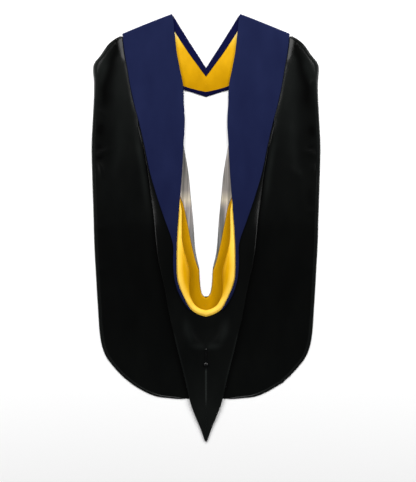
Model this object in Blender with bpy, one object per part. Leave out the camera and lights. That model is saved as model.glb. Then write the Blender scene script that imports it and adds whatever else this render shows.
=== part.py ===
"""Doctoral academic hood, laid flat with its back up.

The hood is a long loop of cloth. A velvet band runs from the centre of the front
yoke, folds over each shoulder and goes down the back, where its inner edge is the
rim of the loop. Below the shoulders a black cowl comes out from under the velvet,
lies double along each side and closes into a pointed tail. The satin lining shows
through the loop and rolls over its rim. A flat black panel lies outside each side.

All sizes and tables are in millimetres: X to the right, Y towards the neck, Z up
from the surface that the hood lies on. The left half is worked out, and the right
half is its mirror image. TO_METRES is applied where a mesh is made.
"""

import math

import bpy
import numpy as np

TO_METRES = 0.001

# Cloth thicknesses and the gap that pieces keep at a seam
VELVET_WALL = 1.4
SHELL_WALL = 1.4
SATIN_WALL = 1.0
SEAM_GAP = 0.3
CENTRE_X = -SEAM_GAP / 2

# The shoulder fold: its two ends on the outline, and the radius of the velvet there
NECK_PEAK = (-97.0, 610.0)
SHOULDER_CORNER = (-239.0, 553.0)
SHOULDER_RADIUS = 4.5
SHOULDER_AXIS_Z = SHOULDER_RADIUS + VELVET_WALL / 2
SHOULDER_STEPS = 6

# The velvet's edges are turned under with this radius at mid cloth
TURN_RADIUS = 1.5
TURN_STEPS = 3
BACK_TURN = 6.0
MOST_TURN_SHARE = 0.38
BAND_CROWN = 1.2
BAND_COLUMNS = 5

# The front yoke lies velvet side down: neck edge, lower edge and turned-over widths
YOKE_NAMES = ("neck_x", "neck_y", "hem_x", "hem_y", "neck_turn", "hem_turn")
YOKE_ROWS = (
    (0, 455, 0, 373, 23, 14),
    (-20, 487, -33, 384, 24, 10),
    (-42, 521, -70, 397, 25, 9),
    (-62, 553, -115, 424, 23, 9),
    (-78, 579, -165, 466, 20, 9),
    (-90, 599, -208, 514, 18, 9),
)

# The back band from the shoulder to its end at the foot of the loop
BAND_NAMES = ("outer_x", "outer_y", "inner_x", "inner_y", "outer_z", "inner_z")
BAND_ROWS = (
    (-234.3, 516, -90, 562, 9.2, 9.6),
    (-230, 487, -83.5, 503, 8.2, 9.4),
    (-224, 455, -75, 456, 6.8, 9.2),
    (-216, 405, -65, 404, 6.0, 8.9),
    (-204.5, 352, -63, 352, 6.4, 8.2),
    (-191, 302, -60.5, 300, 7.5, 8.2),
    (-175.5, 235, -64, 235, 9.0, 9.6),
    (-160, 160, -68, 160, 11.2, 12.6),
    (-140, 91, -73.3, 91, 13.2, 16.0),
    (-117, 23, -79, 23, 16.4, 19.0),
    (-94.5, -44, -83, -44, 20.4, 22.0),
    (-93.5, -100, -84, -100, 22.5, 24.0),
    (-90.5, -140, -82.7, -138, 23.0, 24.4),
    (-84, -168, -76.5, -165, 23.2, 24.5),
    (-75.5, -190, -68, -186, 23.2, 24.5),
    (-66, -208, -60, -203, 23.2, 24.5),
    (-57.5, -221.5, -53.5, -216.3, 23.2, 24.5),
    (-44, -240, -40.5, -234.3, 23.2, 24.5),
    (-30.5, -247.3, -28.5, -241.8, 23.2, 24.5),
)

# The cowl: its outer crease, the inner edge and height of the upper cloth, which is
# the centre back seam from the foot of the loop down, and the under cloth's inner edge
COWL_NAMES = ("crease_x", "crease_y", "upper_x", "upper_y", "upper_z", "under_x", "under_y")
COWL_ROWS = (
    (-186, 326, -181, 326, 2.6, -95, 330),
    (-193, 300, -186.5, 300, 2.7, -76, 302),
    (-181, 245, -175, 245, 4.0, -65.5, 245),
    (-165, 154, -155, 154, 6.4, -50.5, 158),
    (-157, 86, -135, 88, 8.4, -43.3, 84),
    (-148, 20, -112.5, 22, 11.2, -37, 22),
    (-140, -63, -90.7, -58, 15.6, -30.5, -63),
    (-131, -115, -88.8, -112, 17.2, -19.8, -116),
    (-122, -155, -84, -152, 17.6, -17, -158),
    (-113, -200, -76, -180, 17.6, -12.5, -184),
    (-106, -238, -64, -204, 17.5, -5.5, -194.5),
    (-99, -272, -42, -229, 17.4, 0, -198),
    (-91, -305, -20, -244, 17.4, 0, -240),
    (-84, -335, 0, -250, 17.4, 0, -290),
    (-76, -368, 0, -300, 15.5, 0, -335),
    (-64, -415, 0, -370, 13.0, 0, -395),
    (-53, -462, 0, -440, 10.5, 0, -450),
    (-42.8, -502, 0, -495, 8.5, 0, -497),
    (-30, -536, 0, -535, 7.0, 0, -535),
    (-15.7, -570, 0, -572, 5.5, 0, -571),
    (-3, -606, 0, -609.6, 3.9, 0, -604),
)
CREASE_Z = 1.5 * SHELL_WALL + SEAM_GAP
CREASE_ROUNDING = 3.0
UPPER_COLUMNS = 7
UNDER_INSET = 4.4
UNDER_INSET_SHARE = 0.4
PANEL_TUCK = 3.4

# The lining rolls over the loop's rim: where the roll starts, how far it reaches
# over the loop and the direction it reaches in, in degrees from +X
LIP_NAMES = ("rim_x", "rim_y", "rim_z", "reach", "aim")
LIP_ROWS = (
    (-73.4, 90, 16.2, -2, 0),
    (-75, 72, 16.9, 1.5, 0),
    (-77.5, 46, 18.1, 8, 0),
    (-80, 0, 20.2, 10.5, 0),
    (-82.3, -34, 21.6, 14, 0),
    (-83.7, -63, 22.8, 21, 0),
    (-84, -91, 23.7, 29, 0),
    (-83.8, -120, 24.2, 36, 0),
    (-81, -148, 24.4, 34, 3),
    (-73, -177, 24.5, 26, 13),
    (-64, -199, 24.5, 20, 25),
    (-54, -216, 24.5, 17.5, 38),
    (-40, -234, 24.5, 16.5, 53),
    (-20, -246, 24.5, 16.5, 75),
    (0, -252, 24.5, 18, 90),
)
LIP_DROP = 5.4
LIP_TUCK = 3.5
LIP_UNDER_RUN = 26.0
LIP_UNDER_RISE = 1.0
LIP_STEPS = 8
LIP_CREST_SHARE = 0.15
LIP_SINK = 2.8
LEAST_HALF_ROLL = 4.0

# The seam between the silver and the gold satin on the under cloth
LINING_SEAM_NAMES = ("seam_y", "seam_x")
LINING_SEAM_ROWS = (
    (262, -118),
    (205, -116),
    (150, -108),
    (110, -90),
    (85, -73),
    (57, -62),
    (23, -55),
    (-6, -49),
    (-34, -43.6),
    (-63, -37),
    (-91, -30),
    (-118, -20.5),
    (-140, -10),
)
SILVER_TOP_Y = 262.0
SILVER_POINT_Y = -112.0
SILVER_ROWS = 26
LINING_EDGE_INSET = 0.6

# The gold satin of the under cloth: its hidden outer edge, and the height of the
# inner end of each row
GOLD_NAMES = ("outer_x", "outer_y", "inner_y")
GOLD_ROWS = (
    (-116, 112, 110),
    (-112, 85, 84),
    (-110, 55, 55),
    (-110, 20, 22),
    (-111, -22, -20),
    (-112, -63, -63),
    (-112, -95, -92),
    (-111, -128, -122),
    (-107, -165, -158),
    (-98, -205, -183),
    (-80, -240, -193.3),
    (-55, -266, -196.3),
    (-28, -281, -197.6),
    (0, -286, -198),
)

# The side panel: its hemmed outer edge, and the height of each row's inner end
PANEL_NAMES = ("outer_x", "outer_y", "inner_y")
PANEL_ROWS = (
    (-245, 546.5, 544),
    (-262, 537, 528),
    (-280, 521, 508),
    (-300, 492, 482),
    (-320.5, 462, 455),
    (-318.5, 412, 408),
    (-319.5, 365, 362),
    (-323, 300, 302),
    (-326, 228, 228),
    (-323.5, 125, 124),
    (-320.5, 40, 40),
    (-318, -46, -50),
    (-313, -140, -140),
    (-308, -222, -222),
    (-301.5, -308, -296),
    (-288.5, -358, -338),
    (-264, -394, -364),
    (-230, -429, -391),
    (-191, -457, -417),
    (-146, -478, -442),
    (-101, -484.5, -466),
    (-72, -486.5, -486.5),
)
PANEL_COLUMNS = 9
PANEL_FADE = 9.0
PANEL_FLAT_MARGIN = 3.0
MOST_FLAT_SHARE = 0.3
PANEL_TUCK_FADE = 30.0

# Soft ridges in the side panel, each a straight run with its half width and height
RIDGE_NAMES = ("start_x", "start_y", "end_x", "end_y", "half_width", "height")
PANEL_RIDGES = (
    (-249, 537, -242, 476, 8, 6.0),
    (-242, 476, -222, 385, 9, 4.0),
    (-222, 385, -191, 211, 11, 4.5),
    (-191, 211, -177, 108, 9, 3.5),
    (-266, 516, -297, 474, 8, 5.0),
    (-297, 474, -299, 400, 9, 4.0),
    (-309, 208, -282, 220, 8, 3.0),
    (-306, 186, -296, 152, 8, 3.0),
)

# The swag: the upper cloth hangs in a soft ridge below the foot of the loop
SWAG_RIDGES = (
    (-55, -262, -49, -302, 8, 4.0),
    (-49, -302, -32, -332, 8, 4.5),
    (-32, -332, 0, -338, 8, 4.5),
)
SWAG_HOLLOW_Y = -292.0
SWAG_HOLLOW_HALF = 24.0
SWAG_HOLLOW_DEPTH = 2.5

# The button that holds the swag, and its cord loop
BUTTON_Y = -388.0
BUTTON_RADIUS = 6.0
BUTTON_HEAD = 3.6
SHANK_RADIUS = 2.4
SHANK_HEIGHT = 3.0
CORD_RADIUS = 1.0
CORD_HALF_SPREAD = 1.5
LOOP_TOP_Y = -349.0
LOOP_POINTS = 9
KNOT_Y = -345.0
KNOT_SIZE = (3.0, 2.4, 1.8)
ROUND_SEGMENTS = 16

# Finish of each cloth: colour, roughness
FINISHES = {
    "navy_velvet": ((0.016, 0.020, 0.075), 0.85),
    "black_cloth": ((0.006, 0.007, 0.007), 0.45),
    "gold_satin": ((0.90, 0.42, 0.012), 0.32),
    "silver_satin": ((0.32, 0.28, 0.25), 0.32),
}


def clear_scene():
    for obj in list(bpy.data.objects):
        bpy.data.objects.remove(obj, do_unlink=True)


def finish(name):
    """The cloth's material, made once and shared by its pieces."""
    material = bpy.data.materials.get(name)
    if material is None:
        colour, roughness = FINISHES[name]
        material = bpy.data.materials.new(name)
        material.use_nodes = True
        shader = material.node_tree.nodes["Principled BSDF"]
        shader.inputs["Base Color"].default_value = (*colour, 1.0)
        shader.inputs["Roughness"].default_value = roughness
    return material


def smooth_rows(names, rows, steps):
    """A table's columns by name, on a Catmull-Rom curve through its rows, `steps` to a row."""
    values = np.array(rows, float)
    padded = np.vstack([2 * values[0] - values[1], values, 2 * values[-1] - values[-2]])
    spans = len(values) - 1
    place = np.linspace(0, spans, spans * steps + 1)
    row = np.minimum(place.astype(int), spans - 1)
    u = (place - row)[:, None]
    before, start, end, after = (padded[row + k] for k in range(4))
    curve = start + 0.5 * u * (
        (end - before)
        + u * (2 * before - 5 * start + 4 * end - after)
        + u * u * (3 * start - before - 3 * end + after)
    )
    return dict(zip(names, curve.T))


def at_height(curve_y, curve_x, y):
    """X on a curve that runs down the hood, where it has the height y."""
    order = np.argsort(curve_y)
    return np.interp(y, curve_y[order], curve_x[order])


def across(first, last, columns, ease=1.0):
    """Rows of points from first to last, (rows, columns, 3)."""
    share = np.linspace(0, 1, columns + 1) ** ease
    return first[:, None, :] + (last - first)[:, None, :] * share[None, :, None]


def points(x, y, z):
    return np.stack(np.broadcast_arrays(x, y, z), axis=-1).astype(float)


def ridge_height(x, y, rows):
    """Height of the soft ridges at (x, y): a bell across each run that fades past its ends."""
    height = np.zeros(np.shape(x))
    for row in rows:
        ridge = dict(zip(RIDGE_NAMES, row))
        run_x = ridge["end_x"] - ridge["start_x"]
        run_y = ridge["end_y"] - ridge["start_y"]
        past_x = x - ridge["start_x"]
        past_y = y - ridge["start_y"]
        along = np.clip((past_x * run_x + past_y * run_y) / (run_x**2 + run_y**2), 0, 1)
        away = np.hypot(past_x - along * run_x, past_y - along * run_y)
        bell = ridge["height"] * np.exp(-((away / ridge["half_width"]) ** 2))
        height = np.maximum(height, bell)
    return height


def add_body(name, vertices, faces, material, side):
    """One named object. Side -1 is the left half as worked out, and 1 mirrors it."""
    vertices = np.array(vertices, float) * TO_METRES
    vertices[:, 0] *= -side
    corners = vertices[np.array(faces)]
    volume = np.einsum("ij,ij->", corners[:, 0], np.cross(corners[:, 1], corners[:, 2]))
    volume += np.einsum("ij,ij->", corners[:, 0], np.cross(corners[:, 2], corners[:, 3]))
    if volume < 0:
        faces = [face[::-1] for face in faces]
    mesh = bpy.data.meshes.new(name)
    mesh.from_pydata(vertices.tolist(), [], faces)
    mesh.shade_smooth()
    mesh.set_sharp_from_angle(angle=math.radians(40))
    mesh.materials.append(finish(material))
    obj = bpy.data.objects.new(name, mesh)
    bpy.context.scene.collection.objects.link(obj)
    return obj


def wall(name, upper, lower, material, side):
    """A closed wall between two facing grids of points: its two skins and four edges."""
    rows, columns = upper.shape[:2]
    index = np.arange(rows * columns).reshape(rows, columns)
    other = index + rows * columns

    def quads(a, b, c, d):
        return np.stack([a.ravel(), b.ravel(), c.ravel(), d.ravel()], axis=1)

    def edge(line):
        top = index[line]
        bottom = other[line]
        return quads(top[:-1], bottom[:-1], bottom[1:], top[1:])

    skins = [
        quads(index[:-1, :-1], index[:-1, 1:], index[1:, 1:], index[1:, :-1]),
        quads(other[:-1, :-1], other[1:, :-1], other[1:, 1:], other[:-1, 1:]),
    ]
    ring = [
        edge((slice(None), 0))[:, ::-1],
        edge((slice(None), -1)),
        edge((0, slice(None))),
        edge((-1, slice(None)))[:, ::-1],
    ]
    vertices = np.concatenate([upper.reshape(-1, 3), lower.reshape(-1, 3)])
    faces = np.concatenate(skins + ring).tolist()
    return add_body(name, vertices, faces, material, side)


def flat_wall(name, middle, thickness, material, side):
    """A wall whose thickness is measured upright, for cloth that lies nearly flat."""
    lift = np.array([0, 0, thickness / 2])
    return wall(name, middle + lift, middle - lift, material, side)


def turned_profile(width, first_turn, last_turn, crown):
    """A strip of cloth seen end on, both edges turned back over one side.

    Returns points (along, depth) at mid cloth and their outward normals. Depth 0 is
    the face of the strip, and 2 * TURN_RADIUS is the turned-back cloth.
    """
    half_turn = np.linspace(math.pi / 2, 3 * math.pi / 2, TURN_STEPS + 1)
    first_arc = np.stack([np.cos(half_turn), np.sin(half_turn)], axis=1)
    last_arc = first_arc[::-1] * (-1, 1)
    face = np.linspace(TURN_RADIUS, width - TURN_RADIUS, BAND_COLUMNS + 1)[1:-1]
    rise = crown * np.sin(math.pi * (face - TURN_RADIUS) / (width - 2 * TURN_RADIUS))
    middle = np.concatenate([
        [(first_turn, 2 * TURN_RADIUS)],
        first_arc * TURN_RADIUS + TURN_RADIUS,
        np.stack([face, -rise], axis=1),
        last_arc * TURN_RADIUS + (width - TURN_RADIUS, TURN_RADIUS),
        [(width - last_turn, 2 * TURN_RADIUS)],
    ])
    normals = np.concatenate([
        [(0, 1)],
        first_arc,
        np.tile((0, -1), (len(face), 1)),
        last_arc,
        [(0, 1)],
    ])
    return middle, normals


def fold_axis():
    """The two ends of the shoulder fold's axis, its direction and its inward normal."""
    peak = np.array(NECK_PEAK)
    corner = np.array(SHOULDER_CORNER)
    run = (corner - peak) / np.linalg.norm(corner - peak)
    inward = np.array([-run[1], run[0]])
    if inward[1] > 0:
        inward = -inward
    offset = inward * (SHOULDER_RADIUS + VELVET_WALL / 2)
    return peak + offset, corner + offset, inward


def band_stations():
    """Each station of the velvet band from the centre front to the foot of the loop.

    A station is (inner point, outer point, direction from the face to the turned-back
    cloth, inner turn, outer turn, crown).
    """
    stations = []
    up = np.array([0.0, 0.0, 1.0])
    neck_end, corner_end, inward = fold_axis()
    face_z = VELVET_WALL / 2
    last_yoke = (*neck_end, *corner_end, YOKE_ROWS[-1][4], YOKE_ROWS[-1][5])
    yoke = smooth_rows(YOKE_NAMES, YOKE_ROWS + (last_yoke,), 2)
    for i in range(len(yoke["neck_x"])):
        inner = np.array([min(yoke["neck_x"][i], CENTRE_X), yoke["neck_y"][i], face_z])
        outer = np.array([min(yoke["hem_x"][i], CENTRE_X), yoke["hem_y"][i], face_z])
        stations.append((inner, outer, up, yoke["neck_turn"][i], yoke["hem_turn"][i], 0.0))
    for angle in np.linspace(0, math.pi, SHOULDER_STEPS + 1)[1:]:
        depth = up * math.cos(angle) + np.append(inward, 0) * math.sin(angle)
        centre_z = np.array([0, 0, SHOULDER_AXIS_Z])
        inner = np.append(neck_end, 0) + centre_z - depth * SHOULDER_RADIUS
        outer = np.append(corner_end, 0) + centre_z - depth * SHOULDER_RADIUS
        crown = BAND_CROWN * angle / math.pi
        stations.append((inner, outer, depth, last_yoke[4], last_yoke[5], crown))
    top_z = SHOULDER_AXIS_Z + SHOULDER_RADIUS
    first_band = (*corner_end, *neck_end, top_z, top_z)
    band = smooth_rows(BAND_NAMES, (first_band,) + BAND_ROWS, 2)
    for i in range(1, len(band["outer_x"])):
        inner = np.array([band["inner_x"][i], band["inner_y"][i], band["inner_z"][i]])
        outer = np.array([band["outer_x"][i], band["outer_y"][i], band["outer_z"][i]])
        run = (outer - inner) / np.linalg.norm(outer - inner)
        depth = run * run[2] - up
        depth /= np.linalg.norm(depth)
        stations.append((inner, outer, depth, BACK_TURN, BACK_TURN, BAND_CROWN))
    return stations


def velvet_band(side, tag):
    """The velvet, one piece from the centre front round the shoulder fold to the back."""
    face = []
    back = []
    for inner, outer, depth, inner_turn, outer_turn, crown in band_stations():
        run = outer - inner
        run /= np.linalg.norm(run)
        inner = inner + run * VELVET_WALL / 2
        outer = outer - run * VELVET_WALL / 2
        width = np.linalg.norm(outer - inner)
        most = width * MOST_TURN_SHARE
        middle, normals = turned_profile(
            width, min(inner_turn, most), min(outer_turn, most), min(crown, width / 20)
        )
        for grid, offset in ((face, VELVET_WALL / 2), (back, -VELVET_WALL / 2)):
            place = middle + normals * offset
            grid.append(inner + place[:, :1] * run + place[:, 1:] * depth)
    wall(f"velvet_band_{tag}", np.array(face), np.array(back), "navy_velvet", side)


def yoke_lining(side, tag):
    """Gold satin inside the front yoke, held under the turned edges of the velvet."""
    yoke = smooth_rows(YOKE_NAMES, YOKE_ROWS, 2)
    middle_z = VELVET_WALL / 2 + TURN_RADIUS
    neck = points(np.minimum(yoke["neck_x"], CENTRE_X), yoke["neck_y"], middle_z)
    hem = points(np.minimum(yoke["hem_x"], CENTRE_X), yoke["hem_y"], middle_z)
    run = (hem - neck) / np.linalg.norm(hem - neck, axis=1)[:, None]
    inset = 2 * TURN_RADIUS
    grid = across(neck + run * inset, hem - run * inset, 4)
    flat_wall(f"yoke_lining_{tag}", grid, SATIN_WALL, "gold_satin", side)


def cover_edge(y):
    """X of the edge that covers the side panel: the velvet, then the cowl's crease."""
    band = smooth_rows(BAND_NAMES, BAND_ROWS, 4)
    cowl = smooth_rows(COWL_NAMES, COWL_ROWS, 4)
    velvet = at_height(band["outer_y"], band["outer_x"], y)
    crease = at_height(cowl["crease_y"], cowl["crease_x"], y)
    corner_y = fold_axis()[1][1]
    corner_x = fold_axis()[1][0]
    first_y, first_x = BAND_ROWS[0][1], BAND_ROWS[0][0]
    above = first_x + (corner_x - first_x) * (y - first_y) / (corner_y - first_y)
    velvet = np.where(y > first_y, above, velvet)
    return np.where(y < BAND_ROWS[-1][1], crease, np.minimum(velvet, crease))


def side_panel(side, tag):
    """A flat black panel, tucked under the velvet and the cowl along its inner edge."""
    rows = smooth_rows(PANEL_NAMES, PANEL_ROWS, 2)
    below_top = PANEL_ROWS[0][2] - rows["inner_y"]
    tuck = PANEL_TUCK * np.clip(below_top / PANEL_TUCK_FADE, 0, 1)
    outer = points(rows["outer_x"], rows["outer_y"], SHELL_WALL / 2)
    inner_x = cover_edge(rows["inner_y"]) + tuck
    inner = points(inner_x, rows["inner_y"], SHELL_WALL / 2)
    run = inner - outer
    length = np.linalg.norm(run, axis=1)[:, None]
    flat_width = np.minimum(PANEL_TUCK + PANEL_FLAT_MARGIN, length * MOST_FLAT_SHARE)
    flat = inner - run / length * flat_width
    grid = across(outer, flat, PANEL_COLUMNS)
    from_flat = np.linalg.norm(grid - flat[:, None, :], axis=2)
    fade = np.clip(from_flat / PANEL_FADE, 0, 1)
    grid[:, :, 2] += ridge_height(grid[:, :, 0], grid[:, :, 1], PANEL_RIDGES) * fade**2
    grid = np.concatenate([grid, inner[:, None, :]], axis=1)
    flat_wall(f"side_panel_{tag}", grid, SHELL_WALL, "black_cloth", side)


def cowl_upper_grid():
    """Mid cloth of the cowl's upper side, from the crease to the band or centre seam."""
    rows = smooth_rows(COWL_NAMES, COWL_ROWS, 2)
    crease = points(rows["crease_x"], rows["crease_y"], CREASE_Z)
    inner_x = np.minimum(rows["upper_x"], CENTRE_X)
    inner = points(inner_x, rows["upper_y"], rows["upper_z"])
    grid = across(crease, inner, UPPER_COLUMNS)
    share = np.linspace(0, 1, UPPER_COLUMNS + 1)[None, :]
    rise = (rows["upper_z"] - CREASE_Z)[:, None]
    x, y = grid[:, :, 0], grid[:, :, 1]
    grid[:, :, 2] = CREASE_Z + rise * (1 - (1 - share) ** CREASE_ROUNDING)
    hollow = np.exp(-((x**2 + (y - SWAG_HOLLOW_Y) ** 2) / SWAG_HOLLOW_HALF**2))
    grid[:, :, 2] += ridge_height(x, y, SWAG_RIDGES) - SWAG_HOLLOW_DEPTH * hollow
    return grid


def cowl_upper(side, tag):
    flat_wall(f"cowl_upper_{tag}", cowl_upper_grid(), SHELL_WALL, "black_cloth", side)


def cowl_under(side, tag):
    """The cowl's under side, flat on the surface, with the loop's inner edge."""
    rows = smooth_rows(COWL_NAMES, COWL_ROWS, 2)
    crease = points(rows["crease_x"], rows["crease_y"], SHELL_WALL / 2)
    inner = points(np.minimum(rows["under_x"], CENTRE_X), rows["under_y"], SHELL_WALL / 2)
    run = inner - crease
    length = np.linalg.norm(run, axis=1)[:, None]
    inset = np.minimum(UNDER_INSET, length * UNDER_INSET_SHARE)
    grid = across(crease + run / length * inset, inner, 1)
    flat_wall(f"cowl_under_{tag}", grid, SHELL_WALL, "black_cloth", side)


def under_edge(y):
    """X of the under cloth's inner edge at the height y, down to the foot of the loop."""
    rows = smooth_rows(COWL_NAMES, COWL_ROWS[:12], 4)
    return at_height(rows["under_y"], rows["under_x"], y)


def lining_seam(y):
    rows = smooth_rows(LINING_SEAM_NAMES, LINING_SEAM_ROWS, 4)
    return at_height(rows["seam_y"], rows["seam_x"], y)


def under_lining(side, tag):
    """Silver satin towards the loop and gold satin beyond it, on the under cloth."""
    middle_z = SHELL_WALL + SEAM_GAP + SATIN_WALL / 2
    y = np.linspace(SILVER_TOP_Y, SILVER_POINT_Y, SILVER_ROWS)
    seam = points(lining_seam(y) + SEAM_GAP / 2, y, middle_z)
    edge = points(under_edge(y) - LINING_EDGE_INSET, y, middle_z)
    silver = across(seam, edge, 1)
    flat_wall(f"lining_silver_{tag}", silver, SATIN_WALL, "silver_satin", side)

    rows = smooth_rows(GOLD_NAMES, GOLD_ROWS, 2)
    inner_y = rows["inner_y"]
    edge_x = under_edge(inner_y) - LINING_EDGE_INSET
    inner_x = np.minimum(lining_seam(inner_y) - SEAM_GAP / 2, edge_x)
    inner_x = np.where(inner_y < LINING_SEAM_ROWS[-2][0], edge_x, inner_x)
    outer = points(np.minimum(rows["outer_x"], CENTRE_X), rows["outer_y"], middle_z)
    inner = points(np.minimum(inner_x, CENTRE_X), inner_y - LINING_EDGE_INSET, middle_z)
    gold = across(outer, inner, 1)
    flat_wall(f"lining_gold_under_{tag}", gold, SATIN_WALL, "gold_satin", side)


def lip_profile(reach, tuck):
    """The rolled lining end on: (reach over the loop, height) at mid cloth, and normals.

    It leaves the velvet's edge, goes round an elliptical roll and runs back under.
    """
    crest = LIP_CREST_SHARE * max(reach, 0)
    sink = LIP_SINK
    half_height = crest + sink
    half_width = max(reach / 2, LEAST_HALF_ROLL)
    centre = (reach - half_width, -sink)
    first = math.pi - math.asin(sink / half_height)
    angle = np.linspace(first, -math.pi / 2, LIP_STEPS + 1)
    roll = np.stack([np.cos(angle) * half_width, np.sin(angle) * half_height], axis=1)
    roll += centre
    start = (min(-tuck, roll[0, 0] - 1), 0.0)
    end = (-LIP_UNDER_RUN, roll[-1, 1] + LIP_UNDER_RISE)
    middle = np.concatenate([[start], roll, [end]])
    run = np.gradient(middle, axis=0)
    normals = np.stack([-run[:, 1], run[:, 0]], axis=1)
    return middle, normals / np.linalg.norm(normals, axis=1)[:, None]


def lining_lip(side, tag):
    """Gold satin that rolls over the rim from under the velvet and back into the cowl."""
    rows = smooth_rows(LIP_NAMES, LIP_ROWS, 2)
    band = smooth_rows(BAND_NAMES, BAND_ROWS, 4)
    outside = []
    inside = []
    for i in range(len(rows["rim_x"])):
        rim = np.array([rows["rim_x"][i], rows["rim_y"][i], rows["rim_z"][i] - LIP_DROP])
        width = at_height(band["inner_y"], band["inner_x"] - band["outer_x"], rim[1])
        covered = rim[1] > BAND_ROWS[-1][3]
        tuck = min(LIP_TUCK, width * MOST_TURN_SHARE) if covered else 0.0
        aim = math.radians(rows["aim"][i])
        reach = np.array([math.cos(aim), math.sin(aim), 0])
        middle, normals = lip_profile(rows["reach"][i], tuck)
        for grid, offset in ((outside, SATIN_WALL / 2), (inside, -SATIN_WALL / 2)):
            place = middle + normals * offset
            line = rim + place[:, :1] * reach + place[:, 1:] * (0, 0, 1)
            line[:, 0] = np.minimum(line[:, 0], CENTRE_X)
            grid.append(line)
    wall(f"lining_lip_{tag}", np.array(outside), np.array(inside), "gold_satin", side)


def centre_top(y):
    """Height of the upper cloth's face along the centre back seam."""
    seam = cowl_upper_grid()[:, -1]
    return at_height(seam[:, 1], seam[:, 2], y) + SHELL_WALL / 2


def button():
    """A cloth-covered button on a short shank, worked as a turned profile."""
    base = centre_top(BUTTON_Y) + SEAM_GAP
    quarter = np.linspace(0, math.pi / 2, 6)[:-1]
    head = [(BUTTON_RADIUS * math.cos(a), BUTTON_HEAD * math.sin(a)) for a in quarter]
    profile = [(SHANK_RADIUS, 0), (SHANK_RADIUS, SHANK_HEIGHT)]
    profile += [(radius, SHANK_HEIGHT + 0.4 + height) for radius, height in head]
    turn = np.arange(ROUND_SEGMENTS) * 2 * math.pi / ROUND_SEGMENTS
    ring = np.stack([np.cos(turn), np.sin(turn)], axis=1)
    vertices = [(0, BUTTON_Y, base)]
    for radius, height in profile:
        vertices += [(radius * x, BUTTON_Y + radius * y, base + height) for x, y in ring]
    vertices.append((0, BUTTON_Y, base + SHANK_HEIGHT + 0.4 + BUTTON_HEAD))
    turned_body("button", vertices, len(profile))


def turned_body(name, vertices, rings):
    """A body turned about an upright axis: bottom point, rings upwards, top point."""
    step = np.arange(ROUND_SEGMENTS)
    following = (step + 1) % ROUND_SEGMENTS
    faces = [(0, 1 + b, 1 + a) for a, b in zip(step, following)]
    for ring in range(rings - 1):
        low = 1 + ring * ROUND_SEGMENTS
        high = low + ROUND_SEGMENTS
        faces += [(low + a, low + b, high + b, high + a) for a, b in zip(step, following)]
    last = 1 + (rings - 1) * ROUND_SEGMENTS
    faces += [(last + a, last + b, len(vertices) - 1) for a, b in zip(step, following)]
    mesh = bpy.data.meshes.new(name)
    mesh.from_pydata([tuple(c * TO_METRES for c in v) for v in vertices], [], faces)
    mesh.shade_smooth()
    mesh.set_sharp_from_angle(angle=math.radians(50))
    mesh.materials.append(finish("black_cloth"))
    obj = bpy.data.objects.new(name, mesh)
    bpy.context.scene.collection.objects.link(obj)


def knot():
    """The tied ends of the loop, a small flattened ball where they leave the seam."""
    half_x, half_y, half_z = KNOT_SIZE
    centre_z = centre_top(KNOT_Y) + SEAM_GAP + half_z
    vertices = [(0, KNOT_Y, centre_z - half_z)]
    levels = np.linspace(-math.pi / 2, math.pi / 2, 8)[1:-1]
    for level in levels:
        for turn in np.arange(ROUND_SEGMENTS) * 2 * math.pi / ROUND_SEGMENTS:
            x = half_x * math.cos(level) * math.cos(turn)
            y = KNOT_Y + half_y * math.cos(level) * math.sin(turn)
            vertices.append((x, y, centre_z + half_z * math.sin(level)))
    vertices.append((0, KNOT_Y, centre_z + half_z))
    turned_body("loop_knot", vertices, len(levels))


def cord_loop():
    """A fine cord that leaves the knot, goes round the button's shank and comes back."""
    round_shank = SHANK_RADIUS + SEAM_GAP + CORD_RADIUS
    share = np.linspace(0, 1, LOOP_POINTS)
    down_y = LOOP_TOP_Y + (BUTTON_Y - LOOP_TOP_Y) * share
    down_x = -CORD_HALF_SPREAD - (round_shank - CORD_HALF_SPREAD) * share**2
    turn = np.linspace(math.pi, 2 * math.pi, LOOP_POINTS)[1:-1]
    route_x = np.concatenate([down_x, round_shank * np.cos(turn), -down_x[::-1]])
    route_y = np.concatenate([down_y, BUTTON_Y + round_shank * np.sin(turn), down_y[::-1]])
    route_z = centre_top(route_y) + 2 * SEAM_GAP + CORD_RADIUS
    curve = bpy.data.curves.new("cord_loop", "CURVE")
    curve.dimensions = "3D"
    curve.bevel_depth = CORD_RADIUS * TO_METRES
    curve.bevel_resolution = 2
    curve.use_fill_caps = True
    spline = curve.splines.new("POLY")
    spline.points.add(len(route_x) - 1)
    for point, x, y, z in zip(spline.points, route_x, route_y, route_z):
        point.co = (x * TO_METRES, y * TO_METRES, z * TO_METRES, 1)
    curve.materials.append(finish("black_cloth"))
    obj = bpy.data.objects.new("cord_loop", curve)
    bpy.context.scene.collection.objects.link(obj)


def build():
    clear_scene()
    for side, tag in ((-1, "left"), (1, "right")):
        velvet_band(side, tag)
        yoke_lining(side, tag)
        side_panel(side, tag)
        cowl_upper(side, tag)
        cowl_under(side, tag)
        under_lining(side, tag)
        lining_lip(side, tag)
    button()
    knot()
    cord_loop()


build()
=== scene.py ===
"""Doctoral academic hood, laid flat with its back up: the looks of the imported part.

Sizes and tables are in millimetres in the part's own frame: X to the right, Y towards
the neck, Z up from the floor. MM turns them into metres where a mesh is made. The left
half is worked out, and the right half is its mirror image with folds of its own.
"""

import math

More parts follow.
